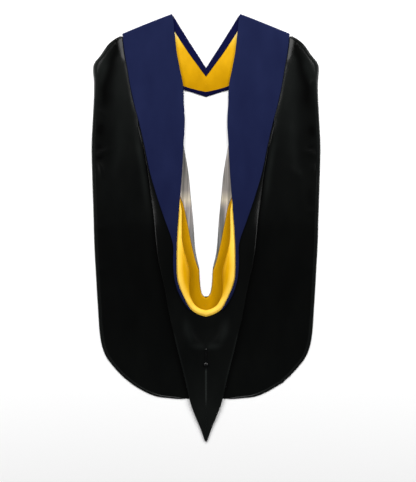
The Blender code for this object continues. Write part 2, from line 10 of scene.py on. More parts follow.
import bpy
import numpy as np
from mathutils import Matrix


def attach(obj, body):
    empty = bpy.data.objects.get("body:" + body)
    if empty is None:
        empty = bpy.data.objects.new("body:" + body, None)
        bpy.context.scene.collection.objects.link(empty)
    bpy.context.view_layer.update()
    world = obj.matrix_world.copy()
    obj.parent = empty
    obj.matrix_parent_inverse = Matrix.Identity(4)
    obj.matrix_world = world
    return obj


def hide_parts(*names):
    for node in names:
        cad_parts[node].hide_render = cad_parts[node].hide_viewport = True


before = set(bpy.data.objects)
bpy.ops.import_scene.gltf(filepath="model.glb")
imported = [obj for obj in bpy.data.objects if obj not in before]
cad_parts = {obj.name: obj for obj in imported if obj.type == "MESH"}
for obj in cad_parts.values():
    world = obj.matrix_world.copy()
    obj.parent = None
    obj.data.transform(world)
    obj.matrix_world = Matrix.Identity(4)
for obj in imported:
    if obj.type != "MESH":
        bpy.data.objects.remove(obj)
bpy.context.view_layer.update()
MM = 0.001

# The room: a pale matt floor, a camera straight above and soft lamps.
# The lamps stand low round the hood, so that flat black cloth stays dark and only the
# flanks of its folds catch the light.
FLOOR_HALF = 6000.0
FLOOR_DROP = 0.3
PIXEL = 2.85
HOOD_CENTRE_PIXEL = (206, 228)
PHOTO_SIZE = (416, 482)
CAMERA_HEIGHT = 6000.0
SENSOR_WIDTH = 36.0
LAMPS = (
    ("lamp_top", 90, 40, 3200, 1900, 80),
    ("lamp_left", 158, 40, 3200, 1700, 66),
    ("lamp_right", 22, 40, 3200, 1700, 66),
)
WORLD_LIGHT = 0.07


def new_object(name, data):
    """A new object with this data, linked to the scene."""
    thing = bpy.data.objects.new(name, data)
    bpy.context.scene.collection.objects.link(thing)
    return thing


def nodes_of(name, roughness, specular):
    """A new Principled material, its node tree and its shader."""
    material = bpy.data.materials.new(name)
    material.use_nodes = True
    tree = material.node_tree
    shader = tree.nodes["Principled BSDF"]
    shader.inputs["Roughness"].default_value = roughness
    shader.inputs["Specular IOR Level"].default_value = specular
    return material, tree, shader


def pale_floor():
    """One square, just below the hood."""
    mesh = bpy.data.meshes.new("floor")
    half = FLOOR_HALF * MM
    low = -FLOOR_DROP * MM
    corners = [(-half, -half, low), (half, -half, low), (half, half, low), (-half, half, low)]
    mesh.from_pydata(corners, [], [(0, 1, 2, 3)])
    paint, _, shader = nodes_of("pale_floor", 0.9, 0.1)
    shader.inputs["Base Color"].default_value = (0.93, 0.93, 0.93, 1)
    mesh.materials.append(paint)
    new_object("floor", mesh)


def soft_lamp(name, azimuth, elevation, distance, size, watts):
    """A square lamp that looks at the hood's middle from a compass angle and a height."""
    data = bpy.data.lights.new(name, "AREA")
    data.shape = "SQUARE"
    data.size = size * MM
    data.energy = watts
    lamp = new_object(name, data)
    a, e = math.radians(azimuth), math.radians(elevation)
    out = (math.cos(a) * math.cos(e), math.sin(a) * math.cos(e), math.sin(e))
    lamp.location = [c * distance * MM for c in out]
    lamp.rotation_euler = (math.pi / 2 - e, 0, a + math.pi / 2)


def camera_above():
    """Looks straight down on the point that is at the middle of the photo."""
    data = bpy.data.cameras.new("camera")
    data.sensor_width = SENSOR_WIDTH
    data.lens = SENSOR_WIDTH * CAMERA_HEIGHT / (PHOTO_SIZE[1] * PIXEL)
    camera = new_object("camera", data)
    middle_x = (PHOTO_SIZE[0] / 2 - HOOD_CENTRE_PIXEL[0]) * PIXEL
    middle_y = (HOOD_CENTRE_PIXEL[1] - PHOTO_SIZE[1] / 2) * PIXEL
    camera.location = (middle_x * MM, middle_y * MM, CAMERA_HEIGHT * MM)
    bpy.context.scene.camera = camera


pale_floor()
camera_above()
for lamp in LAMPS:
    soft_lamp(*lamp)
world = bpy.data.worlds.new("studio")
world.use_nodes = True
world.node_tree.nodes["Background"].inputs["Color"].default_value = (1, 1, 1, 1)
world.node_tree.nodes["Background"].inputs["Strength"].default_value = WORLD_LIGHT
bpy.context.scene.world = world
bpy.context.scene.view_settings.view_transform = "Standard"

# The velvet band: navy cotton velvet, cut in one length from the centre front of the
# yoke, round the shoulder fold and down the back to the foot of the loop. Both long
# edges are turned under and slip-stitched. On the yoke it lies pile down.
SIDES = ((-1, "left"), (1, "right"))
VELVET_WALL = 1.4
SEAM_GAP = 0.3
CENTRE_X = -0.02
NECK_PEAK = (-97.0, 610.0)
SHOULDER_CORNER = (-239.0, 553.0)
SHOULDER_RADIUS = 4.5
SHOULDER_AXIS_Z = SHOULDER_RADIUS + VELVET_WALL / 2
SHOULDER_STEPS = 22
TURN_RADIUS = 1.5
TURN_STEPS = 8
BACK_TURN = 6.0
MOST_TURN_SHARE = 0.38
BAND_CROWN = 1.2
MOST_CROWN_SHARE = 0.05
TURNED_SHARE = 0.9
TURNED_STEPS = (0, 0.15, 0.4, 0.7, 1.5)
BAND_COLUMNS = 34
ROW_STEPS = 10
EDGE_ROUND_LEAST = 0.18
JOIN_SHARE = 0.02
YOKE_TO_BACK_Z = (4.6, 6.2)
YOKE_HEM_Y = (420, 450)

YOKE_NAMES = ("neck_x", "neck_y", "hem_x", "hem_y", "neck_turn", "hem_turn")
YOKE_ROWS = (
    (0, 455, 0, 373, 23, 14),
    (-20, 487, -33, 384, 24, 10),
    (-42, 521, -70, 397, 25, 9),
    (-62, 553, -115, 424, 23, 9),
    (-78, 579, -165, 466, 20, 9),
    (-90, 599, -208, 514, 18, 9),
)
BAND_NAMES = ("outer_x", "outer_y", "inner_x", "inner_y", "outer_z", "inner_z")
BAND_ROWS = (
    (-234.3, 516, -90, 562, 9.2, 9.6),
    (-230, 487, -83.5, 503, 8.2, 9.4),
    (-224, 455, -75, 456, 6.8, 9.2),
    (-216, 405, -65, 404, 6.0, 8.9),
    (-204.5, 352, -63, 352, 6.4, 8.2),
    (-191, 302, -60.5, 300, 7.5, 8.2),
    (-175.5, 235, -64, 235, 9.0, 9.6),
    (-160, 160, -68, 160, 11.2, 12.6),
    (-140, 91, -73.3, 91, 13.2, 16.0),
    (-117, 23, -79, 23, 16.4, 19.0),
    (-94.5, -44, -83, -44, 20.4, 22.0),
    (-93.5, -100, -84, -100, 22.5, 24.0),
    (-90.5, -140, -82.7, -138, 23.0, 24.4),
    (-84, -168, -76.5, -165, 23.2, 24.5),
    (-75.5, -190, -68, -186, 23.2, 24.5),
    (-66, -208, -60, -203, 23.2, 24.5),
    (-57.0, -220.8, -53.5, -216.3, 23.2, 24.5),
    (-46.5, -234.5, -44.3, -231.0, 23.2, 24.5),
)


def smooth_rows(names, rows, steps=ROW_STEPS):
    """A table's columns by name, on a Catmull-Rom curve through its rows, `steps` to a row."""
    values = np.array(rows, float)
    padded = np.vstack([2 * values[0] - values[1], values, 2 * values[-1] - values[-2]])
    spans = len(values) - 1
    place = np.linspace(0, spans, spans * steps + 1)
    row = np.minimum(place.astype(int), spans - 1)
    u = (place - row)[:, None]
    before, start, end, after = (padded[row + k] for k in range(4))
    curve = start + 0.5 * u * (
        (end - before)
        + u * (2 * before - 5 * start + 4 * end - after)
        + u * u * (3 * start - before - 3 * end + after)
    )
    return dict(zip(names, curve.T))


def unit(vectors):
    """The same directions with length 1."""
    return vectors / np.linalg.norm(vectors, axis=-1, keepdims=True)


def run_lengths(grid, axis):
    """Distance along the grid from its first line to each point, added up step by step."""
    steps = np.linalg.norm(np.diff(grid, axis=axis), axis=2)
    pad = [(1, 0), (0, 0)] if axis == 0 else [(0, 0), (1, 0)]
    return np.cumsum(np.pad(steps, pad), axis=axis)


def edge_round(run, axis, radius, free_ends):
    """Height of a quarter circle within `radius` of the grid's free edges, and 1 inside."""
    away = np.full(run.shape, radius)
    if free_ends[0]:
        away = np.minimum(away, run)
    if free_ends[1]:
        away = np.minimum(away, run.take([-1], axis=axis) - run)
    return np.sqrt(1 - (1 - away / radius) ** 2)


def grid_normals(grid):
    """Unit cross product of the two runs of the grid, down the rows and across them."""
    normal = np.cross(np.gradient(grid, axis=0), np.gradient(grid, axis=1))
    return normal / np.maximum(np.linalg.norm(normal, axis=2, keepdims=True), 1e-9)


def mesh_object(name, points, faces, uv=None):
    """Puts an array of points in millimetres and quads into a smooth-shaded object.

    The quads are turned round if the volume under them, the sum of the triple products
    of their corners, is negative, so that they face out.
    """
    points = points * MM
    corners = points[faces]
    volume = np.einsum("ij,ij->", corners[:, 0], np.cross(corners[:, 1], corners[:, 2]))
    volume += np.einsum("ij,ij->", corners[:, 0], np.cross(corners[:, 2], corners[:, 3]))
    if volume < 0:
        faces = faces[:, ::-1]
    mesh = bpy.data.meshes.new(name)
    mesh.from_pydata(points.tolist(), [], faces.tolist())
    if uv is not None:
        layer = mesh.uv_layers.new(name="cloth")
        layer.uv.foreach_set("vector", (uv * MM)[faces.ravel()].ravel().astype(np.float32))
    mesh.shade_smooth()
    return new_object(name, mesh)


def level_at_join(middle, joined):
    """Adds a row just beside the joined one, which keeps the shading level up to it."""
    if joined == "first row":
        beside = middle[:1] + (middle[1:2] - middle[:1]) * JOIN_SHARE
        return np.concatenate([middle[:1], beside, middle[1:]])
    if joined == "last row":
        beside = middle[-1:] + (middle[-2:-1] - middle[-1:]) * JOIN_SHARE
        return np.concatenate([middle[:-1], beside, middle[-1:]])
    return middle


def cloth(name, middle, thickness, side, joined=None, painted_light=None):
    """A closed wall of cloth on a grid of points (rows, columns, 3) at mid cloth.

    Each point goes half the thickness both ways along the grid's normal. Near an edge
    the half thickness follows a quarter circle, so that the edge is round, except at
    the edge that is `joined` to the other half. Side 1 mirrors the piece in the plane
    between the halves. `painted_light`, the painted light and shade for each point, is kept as an
    attribute.
    """
    radius = thickness / 2
    middle = level_at_join(middle, joined)
    down = run_lengths(middle, 0)
    over = run_lengths(middle, 1)
    row_ends = (joined != "first row", joined != "last row")
    column_ends = (True, joined != "last column")
    round_off = edge_round(down, 0, radius, row_ends) * edge_round(over, 1, radius, column_ends)
    offset = grid_normals(middle) * (radius * np.maximum(round_off, EDGE_ROUND_LEAST))[..., None]
    rows, columns = middle.shape[:2]
    index = np.arange(rows * columns).reshape(rows, columns)
    other = index + rows * columns

    def quads(a, b, c, d):
        return np.stack([a.ravel(), b.ravel(), c.ravel(), d.ravel()], axis=1)

    def strip(line, other_line):
        return quads(line[:-1], other_line[:-1], other_line[1:], line[1:])

    faces = np.concatenate([
        quads(index[:-1, :-1], index[:-1, 1:], index[1:, 1:], index[1:, :-1]),
        quads(other[:-1, :-1], other[1:, :-1], other[1:, 1:], other[:-1, 1:]),
        strip(index[:, 0], other[:, 0])[:, ::-1],
        strip(index[:, -1], other[:, -1]),
        strip(index[0], other[0]),
        strip(index[-1], other[-1])[:, ::-1],
    ])
    points = np.concatenate([(middle + offset).reshape(-1, 3), (middle - offset).reshape(-1, 3)])
    points = points * (-side, 1, 1)
    uv = np.stack([over, down], axis=2).reshape(-1, 2)
    piece = mesh_object(name, points, faces, np.concatenate([uv, uv]))
    if painted_light is not None:
        shade = piece.data.attributes.new("painted_light", "FLOAT", "POINT")
        shade.data.foreach_set("value", np.tile(painted_light.ravel(), 2).astype(np.float32))
    return piece


def dress(piece, material, node):
    """Gives a piece its material and its body, and hides the part that it stands for."""
    piece.data.materials.append(material)
    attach(piece, "root")
    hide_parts(node)


def fold_axis():
    """The two ends of the shoulder fold's axis and its inward normal."""
    peak = np.array(NECK_PEAK)
    corner = np.array(SHOULDER_CORNER)
    run = unit(corner - peak)
    inward = np.array([-run[1], run[0]])
    offset = inward * (SHOULDER_RADIUS + VELVET_WALL / 2)
    return peak + offset, corner + offset, inward


def turned_profile(width, first_turn, last_turn, crown):
    """A strip of cloth seen end on, both edges turned back in half circles.

    Points (along, depth) at mid cloth: depth 0 is the face, bowed out by a half sine
    wave, and 2 * TURN_RADIUS is the turned-back cloth.
    """
    half_turn = np.linspace(math.pi / 2, 3 * math.pi / 2, TURN_STEPS + 1)
    first_arc = np.stack([np.cos(half_turn), np.sin(half_turn)], axis=1)
    last_arc = first_arc[::-1] * (-1, 1)
    face = np.linspace(TURN_RADIUS, width - TURN_RADIUS, BAND_COLUMNS + 1)[1:-1]
    rise = crown * np.sin(math.pi * (face - TURN_RADIUS) / (width - 2 * TURN_RADIUS))
    back = np.array(TURNED_STEPS) / TURNED_STEPS[-1] * TURNED_SHARE
    first_back = first_turn - (first_turn - TURN_RADIUS) * back
    last_back = width - last_turn + (last_turn - TURN_RADIUS) * back[::-1]
    depth = np.full(len(back), 2 * TURN_RADIUS)
    return np.concatenate([
        np.stack([first_back, depth], axis=1),
        first_arc * TURN_RADIUS + TURN_RADIUS,
        np.stack([face, -rise], axis=1),
        last_arc * TURN_RADIUS + (width - TURN_RADIUS, TURN_RADIUS),
        np.stack([last_back, depth], axis=1),
    ])


def band_stations():
    """(inner point, outer point, way from face to turned-back cloth, turns, crown)."""
    stations = []
    up = np.array([0.0, 0.0, 1.0])
    neck_end, corner_end, inward = fold_axis()
    face_z = VELVET_WALL / 2
    last_yoke = (*neck_end, *corner_end, YOKE_ROWS[-1][4], YOKE_ROWS[-1][5])
    yoke = smooth_rows(YOKE_NAMES, YOKE_ROWS + (last_yoke,))
    for i in range(len(yoke["neck_x"])):
        inner = np.array([min(yoke["neck_x"][i], CENTRE_X), yoke["neck_y"][i], face_z])
        outer = np.array([min(yoke["hem_x"][i], CENTRE_X), yoke["hem_y"][i], face_z])
        stations.append((inner, outer, up, yoke["neck_turn"][i], yoke["hem_turn"][i], 0.0))
    for angle in np.linspace(0, math.pi, SHOULDER_STEPS + 1)[1:]:
        depth = up * math.cos(angle) + np.append(inward, 0) * math.sin(angle)
        centre_z = np.array([0, 0, SHOULDER_AXIS_Z])
        inner = np.append(neck_end, 0) + centre_z - depth * SHOULDER_RADIUS
        outer = np.append(corner_end, 0) + centre_z - depth * SHOULDER_RADIUS
        crown = BAND_CROWN * angle / math.pi
        stations.append((inner, outer, depth, last_yoke[4], last_yoke[5], crown))
    top_z = SHOULDER_AXIS_Z + SHOULDER_RADIUS
    first_band = (*corner_end, *neck_end, top_z, top_z)
    band = smooth_rows(BAND_NAMES, (first_band,) + BAND_ROWS)
    for i in range(1, len(band["outer_x"])):
        inner = np.array([band["inner_x"][i], band["inner_y"][i], band["inner_z"][i]])
        outer = np.array([band["outer_x"][i], band["outer_y"][i], band["outer_z"][i]])
        run = unit(outer - inner)
        depth = unit(run * run[2] - up)
        stations.append((inner, outer, depth, BACK_TURN, BACK_TURN, BAND_CROWN))
    return stations


def band_middle():
    """The turned strip set on each station, one row of the grid to a station."""
    grid = []
    for inner, outer, depth, inner_turn, outer_turn, crown in band_stations():
        run = unit(outer - inner)
        inner = inner + run * VELVET_WALL / 2
        outer = outer - run * VELVET_WALL / 2
        width = np.linalg.norm(outer - inner)
        most = width * MOST_TURN_SHARE
        crown = min(crown, width * MOST_CROWN_SHARE)
        profile = turned_profile(width, min(inner_turn, most), min(outer_turn, most), crown)
        grid.append(inner + profile[:, :1] * run + profile[:, 1:] * depth)
    return np.array(grid)


def noise(tree, scale, detail=3, stretch=(1, 1, 1)):
    """Noise on Object coordinates, `scale` lumps to a metre, squeezed by `stretch`."""
    place = tree.nodes.new("ShaderNodeTexCoord")
    turn = tree.nodes.new("ShaderNodeMapping")
    turn.inputs["Scale"].default_value = stretch
    lumps = tree.nodes.new("ShaderNodeTexNoise")
    lumps.inputs["Scale"].default_value = scale
    lumps.inputs["Detail"].default_value = detail
    tree.links.new(place.outputs["Object"], turn.inputs["Vector"])
    tree.links.new(turn.outputs["Vector"], lumps.inputs["Vector"])
    return lumps.outputs["Fac"]


def shades(tree, value, stops):
    """A colour for each value between 0 and 1, from (value, colour) stops."""
    ramp = tree.nodes.new("ShaderNodeValToRGB")
    ramp.color_ramp.elements[0].position = stops[0][0]
    ramp.color_ramp.elements[0].color = (*stops[0][1], 1)
    ramp.color_ramp.elements[1].position = stops[-1][0]
    ramp.color_ramp.elements[1].color = (*stops[-1][1], 1)
    for position, colour in stops[1:-1]:
        ramp.color_ramp.elements.new(position).color = (*colour, 1)
    tree.links.new(value, ramp.inputs["Fac"])
    return ramp.outputs["Color"]


def by_place(tree, axis, low, high, stops, place=None):
    """A colour that changes from `low` to `high` millimetres along one axis of `place`,
    which is the Object coordinates when it isn't given."""
    if place is None:
        place = tree.nodes.new("ShaderNodeTexCoord").outputs["Object"]
    parts = tree.nodes.new("ShaderNodeSeparateXYZ")
    scale = tree.nodes.new("ShaderNodeMapRange")
    scale.inputs["From Min"].default_value = low * MM
    scale.inputs["From Max"].default_value = high * MM
    tree.links.new(place, parts.inputs["Vector"])
    tree.links.new(parts.outputs[axis], scale.inputs["Value"])
    return shades(tree, scale.outputs["Result"], stops)


def combine(tree, operation, first, second):
    """The product or the larger of two colours, channel by channel."""
    node = tree.nodes.new("ShaderNodeVectorMath")
    node.operation = operation
    tree.links.new(first, node.inputs[0])
    tree.links.new(second, node.inputs[1])
    return node.outputs["Vector"]


def bump(tree, shader, height, strength, distance):
    """Lets a height texture tilt the surface's shading, up to `distance` millimetres."""
    node = tree.nodes.new("ShaderNodeBump")
    node.inputs["Strength"].default_value = strength
    node.inputs["Distance"].default_value = distance * MM
    tree.links.new(height, node.inputs["Height"])
    tree.links.new(node.outputs["Normal"], shader.inputs["Normal"])


def velvet():
    """Dense short pile: dark face on, brighter where it is seen along the pile.

    Painted shade darkens it towards the foot, where the light falls off, and most of all
    on the yoke, which lies low inside the neck, deepest on the strip at the yoke's hem.
    """
    material, tree, shader = nodes_of("navy_velvet", 0.9, 0.06)
    brushed = shades(tree, noise(tree, 14, 3, (1.6, 0.7, 1)), (
        (0.3, (0.0068, 0.0100, 0.0410)), (0.55, (0.0080, 0.0118, 0.0455)),
        (0.75, (0.0096, 0.0138, 0.0510)),
    ))
    white = (1, 1, 1)
    # Painted shade: darker towards the foot, where the light falls off.
    down = by_place(tree, "Y", -200, 560, (
        (0, (0.62, 0.64, 0.76)), (0.8, (0.96, 0.96, 0.97)), (1, white),
    ))
    # Painted shade on the yoke, which lies low inside the neck, deepest on the strip at its hem.
    yoke = by_place(tree, "Z", *YOKE_TO_BACK_Z, ((0, (0.30, 0.28, 0.70)), (1, white)))
    hem = by_place(tree, "Y", *YOKE_HEM_Y, ((0, (0.3, 0.28, 0.6)), (1, white)))
    raised = by_place(tree, "Z", *YOKE_TO_BACK_Z, ((0, (0, 0, 0)), (1, white)))
    yoke = combine(tree, "MULTIPLY", yoke, combine(tree, "MAXIMUM", hem, raised))
    pile_with_painted_shade = combine(tree, "MULTIPLY", brushed, down)
    tree.links.new(combine(tree, "MULTIPLY", pile_with_painted_shade, yoke), shader.inputs["Base Color"])
    shader.inputs["Sheen Weight"].default_value = 0.2
    shader.inputs["Sheen Roughness"].default_value = 0.4
    shader.inputs["Sheen Tint"].default_value = (0.16, 0.19, 0.75, 1)
    bump(tree, shader, noise(tree, 900, 2), 0.35, 0.3)
    return material


navy_velvet = velvet()
band = band_middle()
for side, tag in SIDES:
    piece = cloth(f"velvet_{tag}", band, VELVET_WALL, side, "first row")
    dress(piece, navy_velvet, f"velvet_band_{tag}")

# The yoke lining: gold satin inside the front yoke, slipped under the velvet's turned
# edges. Seen through the neck, it has painted light, brightest below the shoulder points.
SATIN_WALL = 1.0
YOKE_COLUMNS = 30
YOKE_PUFF = 0.7
GOLD_GLINT = (1.0, 0.82, 0.15)


def across(first, last, columns):
    """Rows of points from first to last, (rows, columns + 1, 3)."""
    share = np.linspace(0, 1, columns + 1)
    return first[:, None, :] + (last - first)[:, None, :] * share[None, :, None]


def stack(x, y, z):
    """Points from separate coordinates, each an array or one value for all."""
    return np.stack(np.broadcast_arrays(x, y, z), axis=-1).astype(float)


def yoke_middle():
    """Straight rows from the neck to the lower edge, puffed up by a sine in the middle."""
    yoke = smooth_rows(YOKE_NAMES, YOKE_ROWS)
    middle_z = VELVET_WALL / 2 + TURN_RADIUS
    neck = stack(np.minimum(yoke["neck_x"], CENTRE_X), yoke["neck_y"], middle_z)
    hem = stack(np.minimum(yoke["hem_x"], CENTRE_X), yoke["hem_y"], middle_z)
    width = np.linalg.norm(hem - neck, axis=1)[:, None]
    inset = (hem - neck) / width * 2 * TURN_RADIUS
    grid = across(neck + inset, hem - inset, YOKE_COLUMNS)
    away = np.linspace(0, 1, YOKE_COLUMNS + 1)[None, :] * width
    first = yoke["neck_turn"][:, None]
    last = width - yoke["hem_turn"][:, None]
    open_share = np.clip((away - first) / (last - first), 0, 1)
    grid[:, :, 2] += YOKE_PUFF * np.sin(math.pi * open_share)
    return grid


def satin(name, glint, scale, stretch, tones, light=None):
    """Smooth glossy weave with a fine grain and a tinted shine.

    Its colour goes through `tones` by a noise of this scale and stretch. It is
    multiplied by the colour that the function `light` makes in the node tree, which is
    painted light and shade.
    """
    material, tree, shader = nodes_of(name, 0.36, 0.25)
    shader.inputs["Specular Tint"].default_value = (*glint, 1)
    bump(tree, shader, noise(tree, 260, 2, (1, 0.12, 1)), 0.25, 0.12)
    colour = shades(tree, noise(tree, scale, 3, stretch), tones)
    if light is not None:
        colour = combine(tree, "MULTIPLY", colour, light(tree))
    tree.links.new(colour, shader.inputs["Base Color"])
    return material


def painted_light_to_shoulders(tree):
    """Painted light on the gold: brighter and paler up to the shoulder points, where it ends in a
    painted highlight.
    """
    return by_place(tree, "Y", 380, 560, (
        (0, (0.42, 0.205, 0.0006)), (0.35, (0.52, 0.265, 0.0016)), (0.72, (0.64, 0.34, 0.007)),
        (0.86, (0.74, 0.46, 0.035)), (1, (0.9, 0.72, 0.3)),
    ))


uneven_gold = ((0.3, (0.88, 0.87, 0.7)), (0.7, (1.06, 1.06, 1.3)))
gold_satin = satin("gold_satin", GOLD_GLINT, 26, (1.2, 0.7, 1), uneven_gold, painted_light_to_shoulders)
lining = yoke_middle()
for side, tag in SIDES:
    piece = cloth(f"yoke_satin_{tag}", lining, SATIN_WALL, side, "first row")
    dress(piece, gold_satin, f"yoke_lining_{tag}")

# The side panels: black cloth, flat beside the band and the cowl and tucked under
# them. The outer edge has a narrow stitched hem. Soft folds run down from the
# shoulder, and short puckers sit along the hem where its stitching draws in.
SHELL_WALL = 1.4
COWL_NAMES = ("crease_x", "crease_y", "upper_x", "upper_y", "upper_z", "under_x", "under_y")
COWL_ROWS = (
    (-186, 326, -181, 326, 2.6, -95, 330),
    (-193, 300, -186.5, 300, 2.7, -76, 302),
    (-181, 245, -175, 245, 4.0, -65.5, 245),
    (-165, 154, -155, 154, 6.4, -50.5, 158),
    (-157, 86, -135, 88, 8.4, -43.3, 84),
    (-148, 20, -112.5, 22, 11.2, -37, 22),
    (-140, -63, -90.7, -58, 15.6, -30.5, -63),
    (-131, -115, -88.8, -112, 17.2, -19.8, -116),
    (-122, -155, -84, -152, 17.6, -17, -158),
    (-113, -200, -76, -180, 17.6, -12.5, -184),
    (-106, -238, -64, -204, 17.5, -5.5, -194.5),
    (-99, -272, -42, -229, 17.4, 0, -198),
    (-91, -305, -20, -244, 17.4, 0, -240),
    (-84, -335, 0, -250, 17.4, 0, -290),
    (-76, -368, 0, -300, 15.5, 0, -335),
    (-64, -415, 0, -370, 13.0, 0, -395),
    (-53, -462, 0, -440, 10.5, 0, -450),
    (-42.8, -502, 0, -495, 8.5, 0, -497),
    (-30, -536, 0, -535, 7.0, 0, -535),
    (-15.7, -570, 0, -572, 5.5, 0, -571),
    (-3, -606, 0, -609.6, 3.9, 0, -604),
)
PANEL_TUCK = 3.4
PANEL_TUCK_FADE = 30.0
PANEL_FADE = 9.0
PANEL_FLAT_MARGIN = 3.0
MOST_FLAT_SHARE = 0.3
PANEL_NAMES = ("outer_x", "outer_y", "inner_y")
PANEL_ROWS = (
    (-245, 546.5, 544),
    (-262, 537, 528),
    (-280, 521, 508),
    (-300, 492, 482),
    (-320.5, 462, 455),
    (-318.5, 412, 408),
    (-319.5, 365, 362),
    (-323, 300, 302),
    (-326, 228, 228),
    (-323.5, 125, 124),
    (-320.5, 40, 40),
    (-318, -46, -50),
    (-313, -140, -140),
    (-308, -222, -222),
    (-301.5, -308, -296),
    (-288.5, -358, -338),
    (-264, -394, -364),
    (-230, -429, -391),
    (-191, -457, -417),
    (-146, -478, -442),
    (-101, -484.5, -466),
    (-72, -486.5, -486.5),
)
PANEL_ROW_STEPS = 14
PANEL_COLUMNS = 34
HEM_COLUMNS = (0, 0.12, 0.35, 0.7, 2.5, 5.0, 7.4, 8.6, 9.8, 11.5)
TUCK_COLUMNS = (0, 0.12, 0.35, 0.7, 2.6, 4.1, 4.4, 4.7, 5.0, 5.3, 5.8, 6.6, 8.0, 10.5)
HEM_STITCH_COLUMN = 6
HEM_WIDTH = 9.2
HEM_RISE = 0.45
HEM_STEP = 1.2
HEM_LIFT = 0.7
HEM_ROLL = 0.6
FOLD_NAMES = ("fold_x", "fold_y", "half_width", "height")
FOLD_STEPS = 12
PANEL_FOLDS = (
    (
        (-262, 520, 9, 1.5), (-274, 500, 13, 3.0), (-290, 474, 14, 3.2), (-300, 452, 14, 2.8),
        (-306, 428, 13, 2.4), (-308, 395, 12, 1.6), (-309, 360, 11, 0.8), (-309, 330, 10, 0),
    ),
)
PUCKERS = {
    "left": (
        ((-312, 338, 6, 0), (-300, 330, 8, 1.2), (-284, 318, 7, 0)),
        ((-315, 206, 6, 0.4), (-300, 213, 6.5, 2.1), (-286, 218, 6.5, 1.4), (-270, 222, 7, 0)),
        ((-310, 188, 6, 0.6), (-299, 173, 7, 3.0), (-296, 155, 7, 1.6), (-296, 138, 7, 0)),
        ((-311, 4, 6, 0), (-300, 0, 8, 1.2), (-288, -6, 7, 0)),
        ((-308, -112, 6, 0), (-299, -120, 8, 1.1), (-288, -128, 7, 0)),
    ),
    "right": (
        ((-310, 424, 5, 0), (-304, 416, 6, 1.1), (-300, 404, 5, 0)),
        ((-314, 208, 6, 0.4), (-300, 213, 6.5, 2.2), (-286, 217, 6.5, 1.4), (-272, 220, 7, 0)),
        ((-310, 186, 6, 0.5), (-304, 170, 7, 2.0), (-300, 150, 7, 0)),
        ((-276, 142, 8, 0), (-262, 152, 10, 1.7), (-246, 164, 10, 1.5), (-232, 176, 8, 0)),
        ((-306, 56, 6, 0), (-297, 48, 8, 1.4), (-288, 40, 7, 0)),
        ((-307, -108, 6, 0), (-299, -116, 8, 1.2), (-290, -124, 7, 0)),
    ),
}
EDGE_BUMPS = {"left": (), "right": ((-242, -427, 7, 2.2), (-217, -439, 8, 2.5))}
BULGE_NAMES = ("at_y", "away", "rise", "reach", "lean", "lean_reach")
BULGE_ROWS = (
    (556, 1.8, 4.6, 26, 0.5, 20),
    (536, 1.8, 5.6, 30, 0.3, 24),
    (519, 1.8, 5.2, 28, 0.4, 30),
    (502, 1.8, 4.2, 24, 0.8, 36),
    (479, 1.8, 0.3, 9, 5.0, 45),
    (456, 1.8, 0.3, 7, 5.2, 50),
    (433, 1.8, 0.3, 8, 5.2, 56),
    (399, 1.8, 0.5, 8, 5.4, 72),
    (365, 1.9, 0.9, 10, 5.4, 84),
    (322, 2.4, 1.0, 14, 5.2, 88),
    (279, 3.5, 1.2, 14, 4.0, 84),
    (245, 6.0, 1.4, 15, 1.4, 60),
    (222, 8.0, 1.3, 15, 0.2, 60),
    (165, 10, 1.1, 15, 0.0, 50),
    (108, 10, 0.9, 13, 0.0, 40),
    (80, 10, 0.7, 13, 0.0, 40),
    (51, 9, 0.4, 13, 0.0, 40),
    (22, 8, 0.1, 13, 0.0, 40),
    (-30, 8, 0.0, 14, 0.0, 40),
    (-480, 8, 0.0, 14, 0.0, 40),
)
# Painted light and shade of the side panels, by height: shadow under the covered edge, highlight
# on the soft ridge beside it, highlight beside the velvet, shade in the trough and light towards
# the hem.
PAINTED_LIGHT_NAMES = ("at_y", "edge_shadow", "ridge", "inner", "trough_out", "trough", "outer")
PAINTED_LIGHT_ROWS = (
    (556, 0, 0, 1.0, 16, 0.2, 0.6),
    (536, 0, 0, 1.0, 20, 0.15, 0.6),
    (502, 0, 0, 1.2, 28, 0.3, 1.2),
    (479, 0, 0, 1.6, 40, 0.4, 2.4),
    (456, 0, 0, 2.0, 47, 0.35, 2.8),
    (433, 0, 0, 2.3, 57, 0.25, 2.2),
    (399, 0, 0, 2.3, 74, 0.1, 1.7),
    (365, 0, 0, 2.2, 82, 0.15, 1.5),
    (322, 0, 0, 1.9, 98, 0.8, 1.2),
    (279, 0, 0.3, 1.7, 112, 0.4, 1.0),
    (250, 0.8, 1.0, 1.4, 116, 0.6, 1.0),
    (222, 1.4, 1.8, 1.2, 120, 0.8, 0.9),
    (165, 1.4, 1.7, 1.0, 120, 0.95, 0.95),
    (108, 1.0, 1.5, 0.95, 120, 0.95, 0.95),
    (80, 0.7, 0.8, 0.95, 120, 0.9, 0.9),
    (51, 0.6, 0.3, 0.9, 120, 0.85, 0.85),
    (22, 0.5, 0.1, 0.75, 120, 0.75, 0.75),
    (-30, 0.45, 0, 0.5, 120, 0.5, 0.5),
    (-250, 0.4, 0, 0.55, 120, 0.55, 0.6),
    (-480, 0.3, 0, 0.9, 120, 0.9, 0.9),
)
EDGE_SHADOW_REACH = 5.0
PAINTED_RIDGE_OUT = 14.0
PAINTED_RIDGE_REACH = 8.0
# Lighter along the hem.
HEM_LIGHTER = 1.3
HEM_LIGHTER_FADE = 4.0
PAINTED_FALL_SHARE = 0.55
PAINTED_RISE = 22.0
LEAST_PAINTED_LIGHT = 0.1
# Painted highlights on the panel's folds.
LIGHT_STREAKS = (
    (
        (-244, 330, 14, 0), (-246, 279, 14, 0.6), (-250, 222, 14, 0.8), (-262, 165, 12, 0.5),
        (-268, 140, 10, 0),
    ),
)
